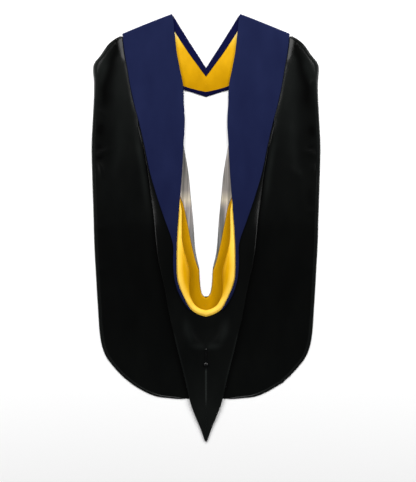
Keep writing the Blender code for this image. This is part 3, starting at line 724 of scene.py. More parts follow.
# Painted shade in spots near the hem, on the sides of the puckers.
PAINTED_SHADE_SPOTS = {
    "left": (
        ((-299, 296, 7, 0.1), (-301, 282, 8, 0.8), (-303, 266, 7, 0.2)),
        ((-308, 238, 6, 0.3), (-304, 229, 7, 0.8), (-298, 222, 6, 0.2)),
        ((-312, 200, 5, 0.3), (-304, 198, 6, 0.8), (-294, 202, 5, 0.2)),
    ),
    "right": (
        ((-300, 290, 7, 0.1), (-303, 276, 8, 0.6), (-306, 262, 7, 0.2)),
        ((-306, 234, 6, 0.3), (-300, 230, 7, 0.5), (-292, 228, 6, 0.2)),
        ((-300, 118, 9, 0.1), (-296, 100, 10, 0.4), (-296, 80, 9, 0.3), (-298, 62, 8, 0.1)),
    ),
}
BULGE_START = 0.8
LEAN_CLIMB = 1.0
BULGE_HEM_FADE = 6.0
CLOTH_SWELL = 0.35
SWELL_START = 20.0
SWELL_PHASE = {"left": 0.7, "right": 2.9}
MOST_CLOSE_SHARE = 0.8


def at_height(curve_y, curve_x, y):
    """X on a curve that runs down the hood, where it has the height y."""
    order = np.argsort(curve_y)
    return np.interp(y, curve_y[order], curve_x[order])


def fold_height(x, y, folds):
    """Height of the soft folds at (x, y), each a row of bells set along a smooth curve."""
    height = np.zeros(np.shape(x))
    for fold in folds:
        curve = smooth_rows(FOLD_NAMES, fold, FOLD_STEPS)
        for fold_x, fold_y, half_width, top in zip(*curve.values()):
            away = ((x - fold_x) ** 2 + (y - fold_y) ** 2) / half_width**2
            height = np.maximum(height, top * np.exp(-away))
    return height


def swell(x, y, phase):
    """Slow unevenness from -1 to 1: three crossed sine waves, 60 to 170 mm long."""
    waves = np.sin(x / 17 + y / 61 + phase) + np.sin(x / 29 - y / 43 + 2 * phase)
    return (waves + np.sin(y / 23 + x / 71 + 3 * phase)) / 3


def columns_between(width, near_first, near_last, inner_columns):
    """Distances from the first edge, close together near both edges and even between.

    Where a row is too narrow for the close ones, they are drawn together in proportion.
    """
    near_first = np.array(near_first, float)
    near_last = np.array(near_last, float)
    close = near_first[-1] + near_last[-1]
    squeeze = np.minimum(1, MOST_CLOSE_SHARE * width / close)[:, None]
    first = near_first[None, :] * squeeze
    last = width[:, None] - near_last[None, ::-1] * squeeze
    share = np.linspace(0, 1, inner_columns + 2)[1:-1][None, :]
    return np.concatenate([first, first[:, -1:] * (1 - share) + last[:, :1] * share, last], axis=1)


def set_out(first, last, away):
    """Points at the distances `away` on straight rows from first towards last."""
    return first[:, None, :] + unit(last - first)[:, None, :] * away[..., None]


def columns_at(names, rows, y):
    """A table's columns after the first, which is their height, at the height y."""
    table = smooth_rows(names, rows)
    return [at_height(table[names[0]], table[name], y) for name in names[1:]]


def cover_edge(y):
    """X of the edge that covers the side panel: the velvet, then the cowl's crease."""
    cowl = smooth_rows(COWL_NAMES, COWL_ROWS)
    velvet_edge = smooth_rows(BAND_NAMES, BAND_ROWS)
    velvet_x = at_height(velvet_edge["outer_y"], velvet_edge["outer_x"], y)
    crease = at_height(cowl["crease_y"], cowl["crease_x"], y)
    corner_x, corner_y = fold_axis()[1]
    first_y, first_x = BAND_ROWS[0][1], BAND_ROWS[0][0]
    above = first_x + (corner_x - first_x) * (y - first_y) / (corner_y - first_y)
    velvet_x = np.where(y > first_y, above, velvet_x)
    return np.where(y < BAND_ROWS[-1][1], crease, np.minimum(velvet_x, crease))


def ease(share):
    """A smooth step from 0 to 1: 3 s squared minus 2 s cubed."""
    share = np.clip(share, 0, 1)
    return share * share * (3 - 2 * share)


def bulge(y, out):
    """Rise of the cloth beside the piece that covers its edge, `out` from that edge.

    It climbs from the edge to a crest and goes down on the outside as a parabola. A
    wider parabola of the height `lean` lies under it and climbs within LEAN_CLIMB.
    """
    away, rise, reach, lean, lean_reach = columns_at(BULGE_NAMES, BULGE_ROWS, y)
    inside = ease((out - BULGE_START) / (away - BULGE_START))
    crest = np.maximum(rise, 0) * (1 - np.clip((out - away) / reach, 0, 1)) ** 2
    slope = np.maximum(lean, 0) * np.clip(1 - out / lean_reach, 0, 1) ** 2
    return crest * inside + slope * ease((out - BULGE_START) / LEAN_CLIMB)


def panel_painted_light(x, y, away, out, tag):
    """Painted light and shade on the cloth, `away` from the hem's edge and `out` from the
    covered edge.

    A painted highlight beside the velvet, painted shade in the long trough outside that
    and painted light again towards the hem, and lighter along the hem itself. Bells across
    the row paint the shadow at the covered edge and a highlight on the soft ridge next to
    it. Painted highlight streaks and painted shaded spots near the hem are added.
    """
    edge_shadow, ridge, inner, trough_out, trough, outer = columns_at(PAINTED_LIGHT_NAMES, PAINTED_LIGHT_ROWS, y)
    shade = trough + (inner - trough) * ease((trough_out - out) / (PAINTED_FALL_SHARE * trough_out))
    shade = shade + (outer - trough) * ease((out - trough_out) / PAINTED_RISE)
    shade = shade - edge_shadow * np.exp(-((out / EDGE_SHADOW_REACH) ** 2))
    shade = shade + ridge * np.exp(-(((out - PAINTED_RIDGE_OUT) / PAINTED_RIDGE_REACH) ** 2))
    shade = shade + HEM_LIGHTER * (1 - ease((away - HEM_WIDTH) / HEM_LIGHTER_FADE + 0.5))
    shade = shade + fold_height(x, y, LIGHT_STREAKS) - fold_height(x, y, PAINTED_SHADE_SPOTS[tag])
    return np.maximum(shade, LEAST_PAINTED_LIGHT)


def panel_middle(tag):
    """Rows from the hem to the tuck, and the painted light and shade at each of their points.

    Height is the cloth's half thickness, the hem's step and roll, and the larger of the
    folds and the bulge beside the covering piece. Bells push small bumps out of the edge.
    """
    rows = smooth_rows(PANEL_NAMES, PANEL_ROWS, PANEL_ROW_STEPS)
    below_top = PANEL_ROWS[0][2] - rows["inner_y"]
    tuck = PANEL_TUCK * np.clip(below_top / PANEL_TUCK_FADE, 0, 1)
    outer = stack(rows["outer_x"], rows["outer_y"], SHELL_WALL / 2)
    inner = stack(cover_edge(rows["inner_y"]) + tuck, rows["inner_y"], SHELL_WALL / 2)
    inwards = unit(inner - outer)
    for bump_x, bump_y, half_width, height in EDGE_BUMPS[tag]:
        near = ((outer[:, 0] - bump_x) ** 2 + (outer[:, 1] - bump_y) ** 2) / half_width**2
        outer = outer - inwards * (height * np.exp(-near))[:, None]
    width = np.linalg.norm(inner - outer, axis=1)
    flat_width = np.minimum(PANEL_TUCK + PANEL_FLAT_MARGIN, width * MOST_FLAT_SHARE)
    away = columns_between(width, HEM_COLUMNS, TUCK_COLUMNS, PANEL_COLUMNS)
    grid = set_out(outer, inner, away)
    x, y = grid[..., 0], grid[..., 1]
    from_flat = width[:, None] - flat_width[:, None] - away
    fade = np.clip(from_flat / PANEL_FADE, 0, 1) ** 2
    folds = fold_height(x, y, PANEL_FOLDS) + fold_height(x, y, PUCKERS[tag])
    slack = CLOTH_SWELL * (1 + swell(x, y, SWELL_PHASE[tag]))
    folds = folds + slack * np.clip(away / SWELL_START, 0, 1)
    hem = HEM_RISE * (1 - np.clip((away - HEM_WIDTH) / HEM_STEP + 0.5, 0, 1))
    hem = hem + HEM_ROLL * np.sin(math.pi * np.clip(away / HEM_WIDTH, 0, 1))
    out = width[:, None] - tuck[:, None] - away
    beside = bulge(y, out) * ease(away / BULGE_HEM_FADE)
    grid[..., 2] += np.maximum(folds * fade, beside) + hem * np.clip(away / HEM_LIFT, 0, 1)
    return grid, panel_painted_light(x, y, away, out, tag)


def black_cloth_with_painted_light():
    """Fine black worsted with a low sheen: thread grain both ways, a little uneven.

    Its colour is multiplied by a per-point attribute of painted light and shade.
    """
    material, tree, shader = nodes_of("black_cloth", 0.22, 0.2)
    uneven = shades(tree, noise(tree, 11, 3, (1.3, 0.6, 1)), (
        (0.3, (0.0014, 0.0017, 0.0016)), (0.7, (0.0026, 0.0030, 0.0028)),
    ))
    # Painted light and shade, read from the attribute, multiply the colour.
    painted_light_input = tree.nodes.new("ShaderNodeAttribute")
    painted_light_input.attribute_name = "painted_light"
    colour = combine(tree, "MULTIPLY", uneven, painted_light_input.outputs["Vector"])
    tree.links.new(colour, shader.inputs["Base Color"])
    warp = noise(tree, 700, 1, (1, 0.08, 1))
    weft = noise(tree, 700, 1, (0.08, 1, 1))
    threads = tree.nodes.new("ShaderNodeMath")
    tree.links.new(warp, threads.inputs[0])
    tree.links.new(weft, threads.inputs[1])
    bump(tree, shader, threads.outputs[0], 0.12, 0.1)
    return material


black_cloth = black_cloth_with_painted_light()
for side, tag in SIDES:
    panel, painted_light = panel_middle(tag)
    piece = cloth(f"panel_cloth_{tag}", panel, SHELL_WALL, side, painted_light=painted_light)
    dress(piece, black_cloth, f"side_panel_{tag}")

# The cowl: black cloth from under the velvet, pressed along a crease on each side and
# joined down the centre back. Below the loop it hangs in a swag, held by the button,
# and it ends in a point. The same cloth lies flat under it.
CREASE_Z = 1.5 * SHELL_WALL + SEAM_GAP
CREASE_CLIMB = 0.35
SOFT_CREASE_ROWS = (
    (-610, 0), (-60, 0), (-30, 0.1), (0, 0.3), (22, 0.55), (51, 0.70), (80, 0.73), (115, 0.5),
    (150, 0.2), (180, 0), (330, 0),
)
UPPER_COLUMNS = 34
UNDER_COLUMNS = 16
UNDER_LEVEL = 0.7
UNDER_INSET = 4.4
UNDER_INSET_SHARE = 0.4
SWAG_FOLDS = (
    (
        (-56, -262, 13, 1.0), (-50, -285, 13, 2.6), (-44, -308, 13, 2.8),
        (-30, -328, 12, 2.6), (-12, -337, 10, 2.4), (0, -338, 9, 1.8),
    ),
)
# Painted highlights on the swag's folds.
PAINTED_SWAG_HIGHLIGHTS = (
    ((-58, -258, 9, 0.3), (-54, -282, 11, 1.7), (-49, -303, 11, 2.1), (-43, -321, 9, 1.5)),
    ((-43, -330, 8, 1.0), (-29, -336, 8, 2.1), (-14, -338, 7, 2.0), (-4, -341, 6, 0.8)),
)
# Level of the cowl's black colour by height.
COWL_LEVEL_ROWS = (
    (-606, 2.6), (-490, 2.0), (-370, 1.1), (-260, 1.0), (-150, 0.6), (-30, 0.5), (84, 0.8),
)
# Painted highlights along the centre seam's ridge and beside the tail's pressed edge.
SEAM_LIGHT = 8.0
SEAM_LIGHT_HALF = 1.5
EDGE_LIGHT = 1.6
EDGE_LIGHT_AWAY = 2.5
EDGE_LIGHT_HALF = 2.0
EDGE_LIGHT_TOP_Y = -290.0
EDGE_LIGHT_LENGTH = 210.0
SWAG_HOLLOW_Y = -292.0
SWAG_HOLLOW_HALF = 24.0
SWAG_HOLLOW_DEPTH = 2.5
SEAM_RIDGE_HALF = 2.6
SEAM_RIDGE_RISE = 1.6
SEAM_RIDGE_TOP_Y = -396.0
SEAM_RIDGE_LENGTH = 120.0
CLOSE_EDGE = (0, 0.12, 0.3, 0.5, 0.75, 1.1, 1.6, 2.2, 3.0, 4.2)
WINDOW_START = 1 / 8
WINDOW_END = 1 / 3


def window(y, top_y, length):
    """1 between top_y and `length` below it, 0 outside, with soft ends."""
    below = (top_y - y) / length
    return ease(below / WINDOW_START) * ease((1 - below) / WINDOW_END)


def along_table(rows, y):
    """Value at the height y, on straight lines between rows of (height, value)."""
    return np.interp(y, *np.array(rows, float).T)


def cowl_painted_light(x, y, away):
    """Colour level of the cloth by height, and painted highlights on the swag, along the
    seam and beside the tail's pressed edge, `away` from it."""
    shade = along_table(COWL_LEVEL_ROWS, y) + fold_height(x, y, PAINTED_SWAG_HIGHLIGHTS)
    seam = SEAM_LIGHT * np.exp(-((x / SEAM_LIGHT_HALF) ** 2))
    edge = EDGE_LIGHT * np.exp(-(((away - EDGE_LIGHT_AWAY) / EDGE_LIGHT_HALF) ** 2))
    shade = shade + seam * window(y, SEAM_RIDGE_TOP_Y, SEAM_RIDGE_LENGTH)
    return shade + edge * window(y, EDGE_LIGHT_TOP_Y, EDGE_LIGHT_LENGTH)


def cowl_upper_middle():
    """Rows from the crease to the band, then to the centre seam, and their painted light.

    Height leaves the crease steeply, as 1 - exp(-distance). Where the crease is soft,
    beside the lower end of the velvet, a share of the height follows a parabola over the
    whole row. The swag's folds and hollow and the centre seam's ridge are added.
    """
    rows = smooth_rows(COWL_NAMES, COWL_ROWS)
    crease = stack(rows["crease_x"], rows["crease_y"], CREASE_Z)
    inner = stack(np.minimum(rows["upper_x"], CENTRE_X), rows["upper_y"], CREASE_Z)
    width = np.linalg.norm(inner - crease, axis=1)
    away = columns_between(width, CLOSE_EDGE, CLOSE_EDGE, UPPER_COLUMNS)
    grid = set_out(crease, inner, away)
    share = away / width[:, None]
    x, y = grid[..., 0], grid[..., 1]
    rise = (rows["upper_z"] - CREASE_Z)[:, None]
    soft = along_table(SOFT_CREASE_ROWS, rows["crease_y"])[:, None]
    climb = 1 - np.exp(-away / CREASE_CLIMB)
    grid[..., 2] += rise * ((1 - soft) * climb + soft * (1 - (1 - share) ** 2))
    hollow = np.exp(-((x**2 + (y - SWAG_HOLLOW_Y) ** 2) / SWAG_HOLLOW_HALF**2))
    grid[..., 2] += fold_height(x, y, SWAG_FOLDS) - SWAG_HOLLOW_DEPTH * hollow
    ridge = np.exp(-((x / SEAM_RIDGE_HALF) ** 2)) * window(y, SEAM_RIDGE_TOP_Y, SEAM_RIDGE_LENGTH)
    grid[..., 2] += SEAM_RIDGE_RISE * ridge
    return grid, cowl_painted_light(x, y, away)


def cowl_under_middle():
    """The same cloth flat on the floor, from near the crease to the loop's edge."""
    rows = smooth_rows(COWL_NAMES, COWL_ROWS)
    crease = stack(rows["crease_x"], rows["crease_y"], SHELL_WALL / 2)
    inner = stack(np.minimum(rows["under_x"], CENTRE_X), rows["under_y"], SHELL_WALL / 2)
    width = np.linalg.norm(inner - crease, axis=1)
    inset = np.minimum(UNDER_INSET, width * UNDER_INSET_SHARE)
    away = columns_between(width - inset, CLOSE_EDGE, CLOSE_EDGE, UNDER_COLUMNS)
    return set_out(crease, inner, away + inset[:, None])


upper, upper_painted_light = cowl_upper_middle()
under_cloth = cowl_under_middle()
under_level = np.full(under_cloth.shape[:2], UNDER_LEVEL)
for side, tag in SIDES:
    piece = cloth(f"cowl_back_{tag}", upper, SHELL_WALL, side, "last column", upper_painted_light)
    dress(piece, black_cloth, f"cowl_upper_{tag}")
    piece = cloth(f"cowl_front_{tag}", under_cloth, SHELL_WALL, side, "last column", under_level)
    dress(piece, black_cloth, f"cowl_under_{tag}")

# The lining on the cowl's under side: silver satin along the loop, and gold satin
# beyond a slanting seam and down to the foot. Both lie on the under cloth.
LINING_SEAM_NAMES = ("seam_y", "seam_x")
LINING_SEAM_ROWS = (
    (262, -118), (205, -116), (150, -108), (110, -90), (85, -73), (57, -62), (23, -55),
    (-6, -49), (-34, -43.6), (-63, -37), (-91, -30), (-118, -20.5), (-140, -10),
)
LOOP_COWL_ROWS = COWL_ROWS[:12]
SILVER_TOP_Y = 262.0
SILVER_POINT_Y = -112.0
SILVER_ROW_COUNT = 180
LINING_EDGE_INSET = 0.6
LINING_COLUMNS = 14
GOLD_NAMES = ("outer_x", "outer_y", "inner_y")
GOLD_ROWS = (
    (-116, 112, 110),
    (-112, 85, 84),
    (-110, 55, 55),
    (-110, 20, 22),
    (-111, -22, -20),
    (-112, -63, -63),
    (-112, -95, -92),
    (-111, -128, -122),
    (-107, -165, -158),
    (-98, -205, -183),
    (-80, -240, -193.3),
    (-55, -266, -196.3),
    (-28, -281, -197.6),
    (0, -286, -198),
)
LINING_Z = SHELL_WALL + SEAM_GAP + SATIN_WALL / 2


def under_edge(y):
    """X of the under cloth's inner edge at the height y, down to the foot of the loop."""
    rows = smooth_rows(COWL_NAMES, LOOP_COWL_ROWS)
    return at_height(rows["under_y"], rows["under_x"], y)


def lining_seam(y):
    """X of the slanting seam between silver and gold at the height y."""
    rows = smooth_rows(LINING_SEAM_NAMES, LINING_SEAM_ROWS)
    return at_height(rows["seam_y"], rows["seam_x"], y)


def silver_middle():
    """Level rows from the seam to the loop's edge, flat on the under cloth."""
    y = np.linspace(SILVER_TOP_Y, SILVER_POINT_Y, SILVER_ROW_COUNT)
    seam = stack(lining_seam(y) + SEAM_GAP / 2, y, LINING_Z)
    edge = stack(under_edge(y) - LINING_EDGE_INSET, y, LINING_Z)
    return across(seam, edge, LINING_COLUMNS)


def gold_under_middle():
    """Rows from inside the cowl to the seam and, below it, to the loop's edge."""
    rows = smooth_rows(GOLD_NAMES, GOLD_ROWS)
    inner_y = rows["inner_y"]
    edge_x = under_edge(inner_y) - LINING_EDGE_INSET
    inner_x = np.minimum(lining_seam(inner_y) - SEAM_GAP / 2, edge_x)
    inner_x = np.where(inner_y < LINING_SEAM_ROWS[-2][0], edge_x, inner_x)
    inner_x[-1] = CENTRE_X
    outer = stack(np.minimum(rows["outer_x"], CENTRE_X), rows["outer_y"], LINING_Z)
    inner = stack(np.minimum(inner_x, CENTRE_X), inner_y - LINING_EDGE_INSET, LINING_Z)
    return across(outer, inner, LINING_COLUMNS)


def painted_light_on_silver(tree):
    """Painted light on the silver: painted shade at both ends, and a painted highlight where it
    meets the gold.
    """
    return by_place(tree, "Y", -110, 260, (
        (0, (0.6, 0.68, 0.72)), (0.25, (0.7, 0.74, 0.76)), (0.45, (1.05, 1.02, 1.02)),
        (0.515, (2.0, 1.9, 1.55)), (0.59, (1.0, 0.98, 0.95)), (1, (0.8, 0.8, 0.78)),
    ))


upright_streaks = (
    (0.32, (0.10, 0.10, 0.095)), (0.45, (0.215, 0.20, 0.19)), (0.56, (0.27, 0.25, 0.24)),
    (0.7, (0.47, 0.43, 0.42)),
)
silver_satin = satin(
    "silver_satin", (1, 0.97, 0.92), 150, (1, 0.045, 1), upright_streaks, painted_light_on_silver
)
# A darker copy of the gold satin: painted shade of the cowl's deep inside, under the rolled
# lining.
painted_shade_gold = ((0.3, (0.39, 0.193, 0.0003)), (0.7, (0.47, 0.232, 0.0005)))
shaded_gold_satin = satin("shaded_gold_satin", GOLD_GLINT, 30, (1.3, 0.6, 1), painted_shade_gold)
silver = silver_middle()
gold_under = gold_under_middle()
for side, tag in SIDES:
    piece = cloth(f"silver_satin_{tag}", silver, SATIN_WALL, side)
    dress(piece, silver_satin, f"lining_silver_{tag}")
    piece = cloth(f"shaded_gold_satin_{tag}", gold_under, SATIN_WALL, side, "last row")
    node = f"lining_gold_under_{tag}"
    dress(piece, shaded_gold_satin, node)

# The rolled lining: gold satin that comes out from under the velvet's inner edge,
# rolls over the rim of the loop and runs back into the cowl. The roll is narrow at
# the top, broad at the sides and even round the foot.
LIP_NAMES = ("rim_x", "rim_y", "rim_z", "reach", "aim")
LIP_ROWS = (
    (-73.4, 90, 16.2, -2, 0),
    (-75, 72, 16.9, 1.5, 0),
    (-77.5, 46, 18.1, 8, 0),
    (-80, 0, 20.2, 10.5, 0),
    (-82.3, -34, 21.6, 14, 0),
    (-83.7, -63, 22.8, 21, 0),
    (-84, -91, 23.7, 29, 0),
    (-83.8, -120, 24.2, 36, 0),
    (-81, -148, 24.4, 34, 3),
    (-73, -177, 24.5, 26, 13),
    (-64, -199, 24.5, 20, 25),
    (-54, -216, 24.5, 17.5, 38),
    (-40, -234, 24.5, 16.5, 53),
    (-20, -246, 24.5, 16.5, 75),
    (0, -252, 24.5, 18, 90),
)
LIP_DROP = 5.4
LIP_TUCK = 3.5
LIP_UNDER_RUN = 26.0
LIP_UNDER_RISE = 1.0
LIP_STEPS = 26
LIP_LEAD_SHARES = (0, 0.15, 0.5)
LIP_TAIL_SHARES = (0.3, 0.6, 0.9, 0.98, 1)
LIP_CREST_SHARE = 0.15
LIP_SINK = 2.8
LEAST_HALF_ROLL = 4.0
ROLL_RUN = 40.0


def lip_profile(reach, tuck):
    """The roll end on, (reach over the loop, height): an ellipse's arc from the velvet's
    edge over the crest and round underneath, then a straight run back."""
    crest = LIP_CREST_SHARE * max(reach, 0)
    half_height = crest + LIP_SINK
    half_width = max(reach / 2, LEAST_HALF_ROLL)
    centre = (reach - half_width, -LIP_SINK)
    first = math.pi - math.asin(LIP_SINK / half_height)
    angle = np.linspace(first, -math.pi / 2, LIP_STEPS + 1)
    roll = np.stack([np.cos(angle) * half_width, np.sin(angle) * half_height], axis=1)
    roll += centre
    start = np.array([min(-tuck, roll[0, 0] - 1), 0.0])
    end = np.array([-LIP_UNDER_RUN, roll[-1, 1] + LIP_UNDER_RISE])
    lead = start + np.outer(LIP_LEAD_SHARES, roll[0] - start)
    tail = roll[-1] + np.outer(LIP_TAIL_SHARES, end - roll[-1])
    return np.concatenate([lead, roll, tail])


def lip_middle():
    """The roll's profile set on each point of the rim, turned towards the loop by `aim`."""
    rows = smooth_rows(LIP_NAMES, LIP_ROWS)
    edge = smooth_rows(BAND_NAMES, BAND_ROWS)
    grid = []
    for i in range(len(rows["rim_x"])):
        rim = np.array([rows["rim_x"][i], rows["rim_y"][i], rows["rim_z"][i] - LIP_DROP])
        width = at_height(edge["inner_y"], edge["inner_x"] - edge["outer_x"], rim[1])
        covered = rim[1] > BAND_ROWS[-1][3]
        tuck = min(LIP_TUCK, width * MOST_TURN_SHARE) if covered else 0.0
        aim = math.radians(rows["aim"][i])
        reach = np.array([math.cos(aim), math.sin(aim), 0])
        profile = lip_profile(rows["reach"][i], tuck)
        line = rim + profile[:, :1] * reach + profile[:, 1:] * (0, 0, 1)
        line[:, 0] = np.minimum(line[:, 0], CENTRE_X)
        grid.append(line)
    return np.array(grid)


def painted_light_across_roll(tree):
    """Gold by the cloth's own bend, read from its UV: a painted highlight along the rim.

    Across ROLL_RUN millimetres it goes down to the painted shade of the lining under it.
    """
    own = tree.nodes.new("ShaderNodeUVMap")
    own.uv_map = "cloth"
    return by_place(tree, "X", 0, ROLL_RUN, (
        (0, (0.82, 0.50, 0.05)), (0.12, (0.90, 0.56, 0.06)), (0.22, (0.93, 0.60, 0.085)),
        (0.40, (0.88, 0.53, 0.05)), (0.62, (0.64, 0.325, 0.0015)), (0.85, (0.52, 0.25, 0.0004)),
        (1, (0.50, 0.24, 0.0003)),
    ), own.outputs["UV"])


uneven_roll = ((0.3, (0.92, 0.91, 0.8)), (0.7, (1.07, 1.07, 1.2)))
rolled_gold_satin = satin(
    "rolled_gold_satin", GOLD_GLINT, 34, (1.2, 0.7, 1), uneven_roll, painted_light_across_roll
)
lip = lip_middle()
for side, tag in SIDES:
    piece = cloth(f"rolled_satin_{tag}", lip, SATIN_WALL, side, "last row")
    dress(piece, rolled_gold_satin, f"lining_lip_{tag}")

# The button and its cord: a small button covered in the black cloth, sewn through the
# centre back seam, a thin black cord that goes round it, and the knot above, where
# the cord leaves the swag.
BUTTON_Y = -388.0
BUTTON_RADIUS = 6.0
BUTTON_HEAD = 3.6
BUTTON_RIM = 0.4
DOME_POINTS = 13
DIMPLE_DEPTH = 0.35
DIMPLE_RADIUS = 1.4
SHANK_RADIUS = 2.4
SHANK_HEIGHT = 3.0
SHANK_SHARES = ((1, 0), (0.9, 0.4), (1, 0.8), (1.3, 1))
UNDER_HEAD_SHARE = 0.82
UNDER_HEAD_RISE = 0.05
GATHERS = 14
GATHER_SHARE = 0.05
GATHER_START = 0.9
CORD_RADIUS = 1.0
CORD_HALF_SPREAD = 1.5
CORD_POINTS = 24
CORD_PLIES = 3
PLY_DEPTH = 0.12
PLY_PITCH = 3.2
LOOP_TOP_Y = -349.0
LEG_POINTS = 90
TURN_POINTS = 40
KNOT_Y = -345.0
KNOT_SIZE = (3.0, 2.4, 1.8)
KNOT_LEVELS = 24
COIL_DEPTH = 0.07
COIL_TURNS = (5, 2)
ROUND_POINTS = 48
END_SHRINK = (0.02, 0.5)


def centre_top(y):
    """Height of the upper cloth's face along the centre back seam."""
    seam = upper[:, -1]
    return at_height(seam[:, 1], seam[:, 2], y) + SHELL_WALL / 2


def ring_body(name, rings):
    """A closed skin over rings of points (rings, points, 3), with its two ends filled.

    Each end is closed by rows that shrink to almost nothing on the ring's middle.
    """
    middle_first = rings[:1].mean(axis=1, keepdims=True)
    middle_last = rings[-1:].mean(axis=1, keepdims=True)
    shrink = np.array(END_SHRINK)[:, None, None]
    first = middle_first + (rings[:1] - middle_first) * shrink
    last = middle_last + (rings[-1:] - middle_last) * shrink[::-1]
    rings = np.concatenate([first, rings, last])
    count, around = rings.shape[:2]
    index = np.arange(count * around).reshape(count, around)
    following = np.roll(index, -1, axis=1)
    side = np.stack([index[:-1], following[:-1], following[1:], index[1:]], axis=-1).reshape(-1, 4)
    half = around // 2
    caps = []
    for ring in (index[0], index[-1][::-1]):
        a, b = ring[:half], ring[half:][::-1]
        caps.append(np.stack([a[:-1], b[:-1], b[1:], a[1:]], axis=1))
    return mesh_object(name, rings.reshape(-1, 3), np.concatenate([side] + caps))


def covered_button():
    """A domed head with a shallow dimple, gathered into a round shank underneath.

    The head's outline is a quarter ellipse. Under it the radius carries a small cosine
    wave round the button, which is the gathered edge of its cover.
    """
    base = centre_top(BUTTON_Y) + SEAM_GAP
    dome = np.linspace(0, math.pi / 2, DOME_POINTS + 1)[:-1]
    shank = [(SHANK_RADIUS * wide, SHANK_HEIGHT * high) for wide, high in SHANK_SHARES]
    under = [(BUTTON_RADIUS * UNDER_HEAD_SHARE, SHANK_HEIGHT + UNDER_HEAD_RISE)]
    head_z = SHANK_HEIGHT + BUTTON_RIM
    head = [(BUTTON_RADIUS * math.cos(a), head_z + BUTTON_HEAD * math.sin(a)) for a in dome]
    profile = np.array(shank + under + head)
    turn = np.arange(ROUND_POINTS) * 2 * math.pi / ROUND_POINTS
    is_under = (profile[:, 1] > SHANK_HEIGHT * GATHER_START) & (profile[:, 1] < head_z)
    radius = profile[:, :1] * (1 + GATHER_SHARE * is_under[:, None] * np.cos(GATHERS * turn))
    dimple = DIMPLE_DEPTH * np.exp(-((profile[:, 0] / DIMPLE_RADIUS) ** 2))
    z = base + profile[:, 1] - dimple * (profile[:, 1] > head_z)
    x, y = radius * np.cos(turn), BUTTON_Y + radius * np.sin(turn)
    return ring_body("covered_button", stack(x, y, z[:, None]))


def circles_across(run, turn):
    """Unit circles that stand across each direction, and the upward side of each."""
    side = unit(np.cross(run, (0, 0, 1)))
    up = np.cross(side, run)
    circles = side[:, None, :] * np.cos(turn)[:, None] + up[:, None, :] * np.sin(turn)[:, None]
    return circles, up


def plied_tube(name, route, radius):
    """A cord of three twisted plies: a tube whose radius waves three times round it.

    The wave's phase grows with the distance along the route, so the plies run in
    helices.
    """
    along = run_lengths(route[:, None, :], 0)[:, 0]
    turn = np.arange(CORD_POINTS) * 2 * math.pi / CORD_POINTS
    phase = CORD_PLIES * turn[None, :] + 2 * math.pi * along[:, None] / PLY_PITCH
    reach = radius * (1 - PLY_DEPTH + PLY_DEPTH * np.cos(phase))
    circles, _ = circles_across(unit(np.gradient(route, axis=0)), turn)
    return ring_body(name, route[:, None, :] + circles * reach[..., None])


def loop_route():
    """From the knot down to the button, half round its shank and back up.

    The legs spread as the square of the way down.
    """
    round_shank = SHANK_RADIUS + SEAM_GAP + CORD_RADIUS
    share = np.linspace(0, 1, LEG_POINTS)
    down_y = LOOP_TOP_Y + (BUTTON_Y - LOOP_TOP_Y) * share
    down_x = -CORD_HALF_SPREAD - (round_shank - CORD_HALF_SPREAD) * share**2
    turn = np.linspace(math.pi, 2 * math.pi, TURN_POINTS)[1:-1]
    x = np.concatenate([down_x, round_shank * np.cos(turn), -down_x[::-1]])
    y = np.concatenate([down_y, BUTTON_Y + round_shank * np.sin(turn), down_y[::-1]])
    return np.stack([x, y, centre_top(y) + 2 * SEAM_GAP + CORD_RADIUS], axis=1)


def knot_of_cord():
    """An ellipsoid whose skin carries a slanting wave: the turns of the tied cord."""
    centre_z = centre_top(KNOT_Y) + SEAM_GAP + KNOT_SIZE[2]
    level = np.linspace(-math.pi / 2, math.pi / 2, KNOT_LEVELS + 2)[1:-1, None]
    turn = np.arange(ROUND_POINTS)[None, :] * 2 * math.pi / ROUND_POINTS
    coil = 1 - COIL_DEPTH * (1 + np.cos(COIL_TURNS[0] * level + COIL_TURNS[1] * turn))
    x = KNOT_SIZE[0] * coil * np.cos(level) * np.cos(turn)
    y = KNOT_Y + KNOT_SIZE[1] * coil * np.cos(level) * np.sin(turn)
    z = centre_z + KNOT_SIZE[2] * np.sin(level) + 0 * turn
    return ring_body("cord_knot", np.stack([x, y, z], axis=-1))


def black_trim(name, roughness, specular):
    """Black silk or black thread, with fine fibres."""
    material, tree, shader = nodes_of(name, roughness, specular)
    fibres = noise(tree, 600, 2)
    colour = shades(tree, fibres, (
        (0.3, (0.0015, 0.0017, 0.0018)), (0.7, (0.004, 0.004, 0.0045)),
    ))
    tree.links.new(colour, shader.inputs["Base Color"])
    bump(tree, shader, fibres, 0.3, 0.1)
    return material


black_cord = black_trim("black_cord", 0.6, 0.06)
black_silk = black_trim("black_silk", 0.25, 0.4)
dress(covered_button(), black_silk, "button")
dress(plied_tube("loop_of_cord", loop_route(), CORD_RADIUS), black_cord, "cord_loop")
dress(knot_of_cord(), black_silk, "loop_knot")

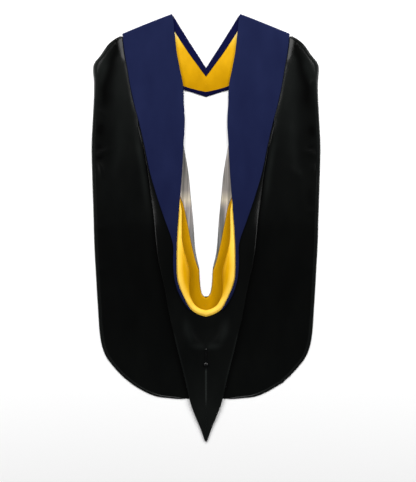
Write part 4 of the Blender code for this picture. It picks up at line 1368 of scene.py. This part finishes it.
# The stitching: black thread along the side panels' hems, one short stitch after
# another, sunk a little into the cloth at both of its ends.
STITCH_LENGTH = 2.6
STITCH_PITCH = 3.4
STITCH_RADIUS = 0.22
STITCH_LIFT = 0.05
STITCH_END_ROWS = 4
STITCH_RINGS = ((-0.5, 0.35, -0.25), (-0.3, 0.9, 0.0), (0.3, 0.9, 0.0), (0.5, 0.35, -0.25))
STITCH_SIDES = 6


def thread_stitches(name, line):
    """Copies of one small spindle, set at even distances along a line of points.

    The spindle is four rings of six points, (place along it, fullness, height): its ends
    are thin and dip into the cloth.
    """
    along = run_lengths(line[:, None, :], 0)[:, 0]
    middles = np.arange(STITCH_PITCH, along[-1] - STITCH_PITCH, STITCH_PITCH)
    place = np.stack([np.interp(middles, along, line[:, k]) for k in range(3)], axis=1)
    ahead = np.stack([np.interp(middles + 1, along, line[:, k]) for k in range(3)], axis=1)
    run = unit(ahead - place)
    circles, up = circles_across(run, np.arange(STITCH_SIDES) * 2 * math.pi / STITCH_SIDES)
    rings = []
    for step, full, dip in STITCH_RINGS:
        centre = place + run * (step * STITCH_LENGTH) + up * dip
        rings.append(centre[:, None, :] + circles * (full * STITCH_RADIUS))
    points = np.stack(rings, axis=1)
    count = len(STITCH_RINGS) * STITCH_SIDES
    index = np.arange(count).reshape(-1, STITCH_SIDES)
    following = np.roll(index, -1, axis=1)
    skin = np.stack([index[:-1], index[1:], following[1:], following[:-1]], axis=-1)
    first, last = index[0], index[-1][::-1]
    caps = [first[:4], first[[0, 3, 4, 5]], last[[2, 3, 4, 5]], last[[0, 1, 2, 5]]]
    one = np.concatenate([skin.reshape(-1, 4), caps])
    faces = (one[None] + count * np.arange(len(points))[:, None, None]).reshape(-1, 4)
    return mesh_object(name, points.reshape(-1, 3), faces)


for side, tag in SIDES:
    hem_line = panel_middle(tag)[0][STITCH_END_ROWS:-STITCH_END_ROWS, HEM_STITCH_COLUMN]
    hem_line = hem_line * (-side, 1, 1) + (0, 0, SHELL_WALL / 2 + STITCH_LIFT)
    stitches = thread_stitches(f"hem_stitches_{tag}", hem_line)
    stitches.data.materials.append(black_cord)
    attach(stitches, "root")
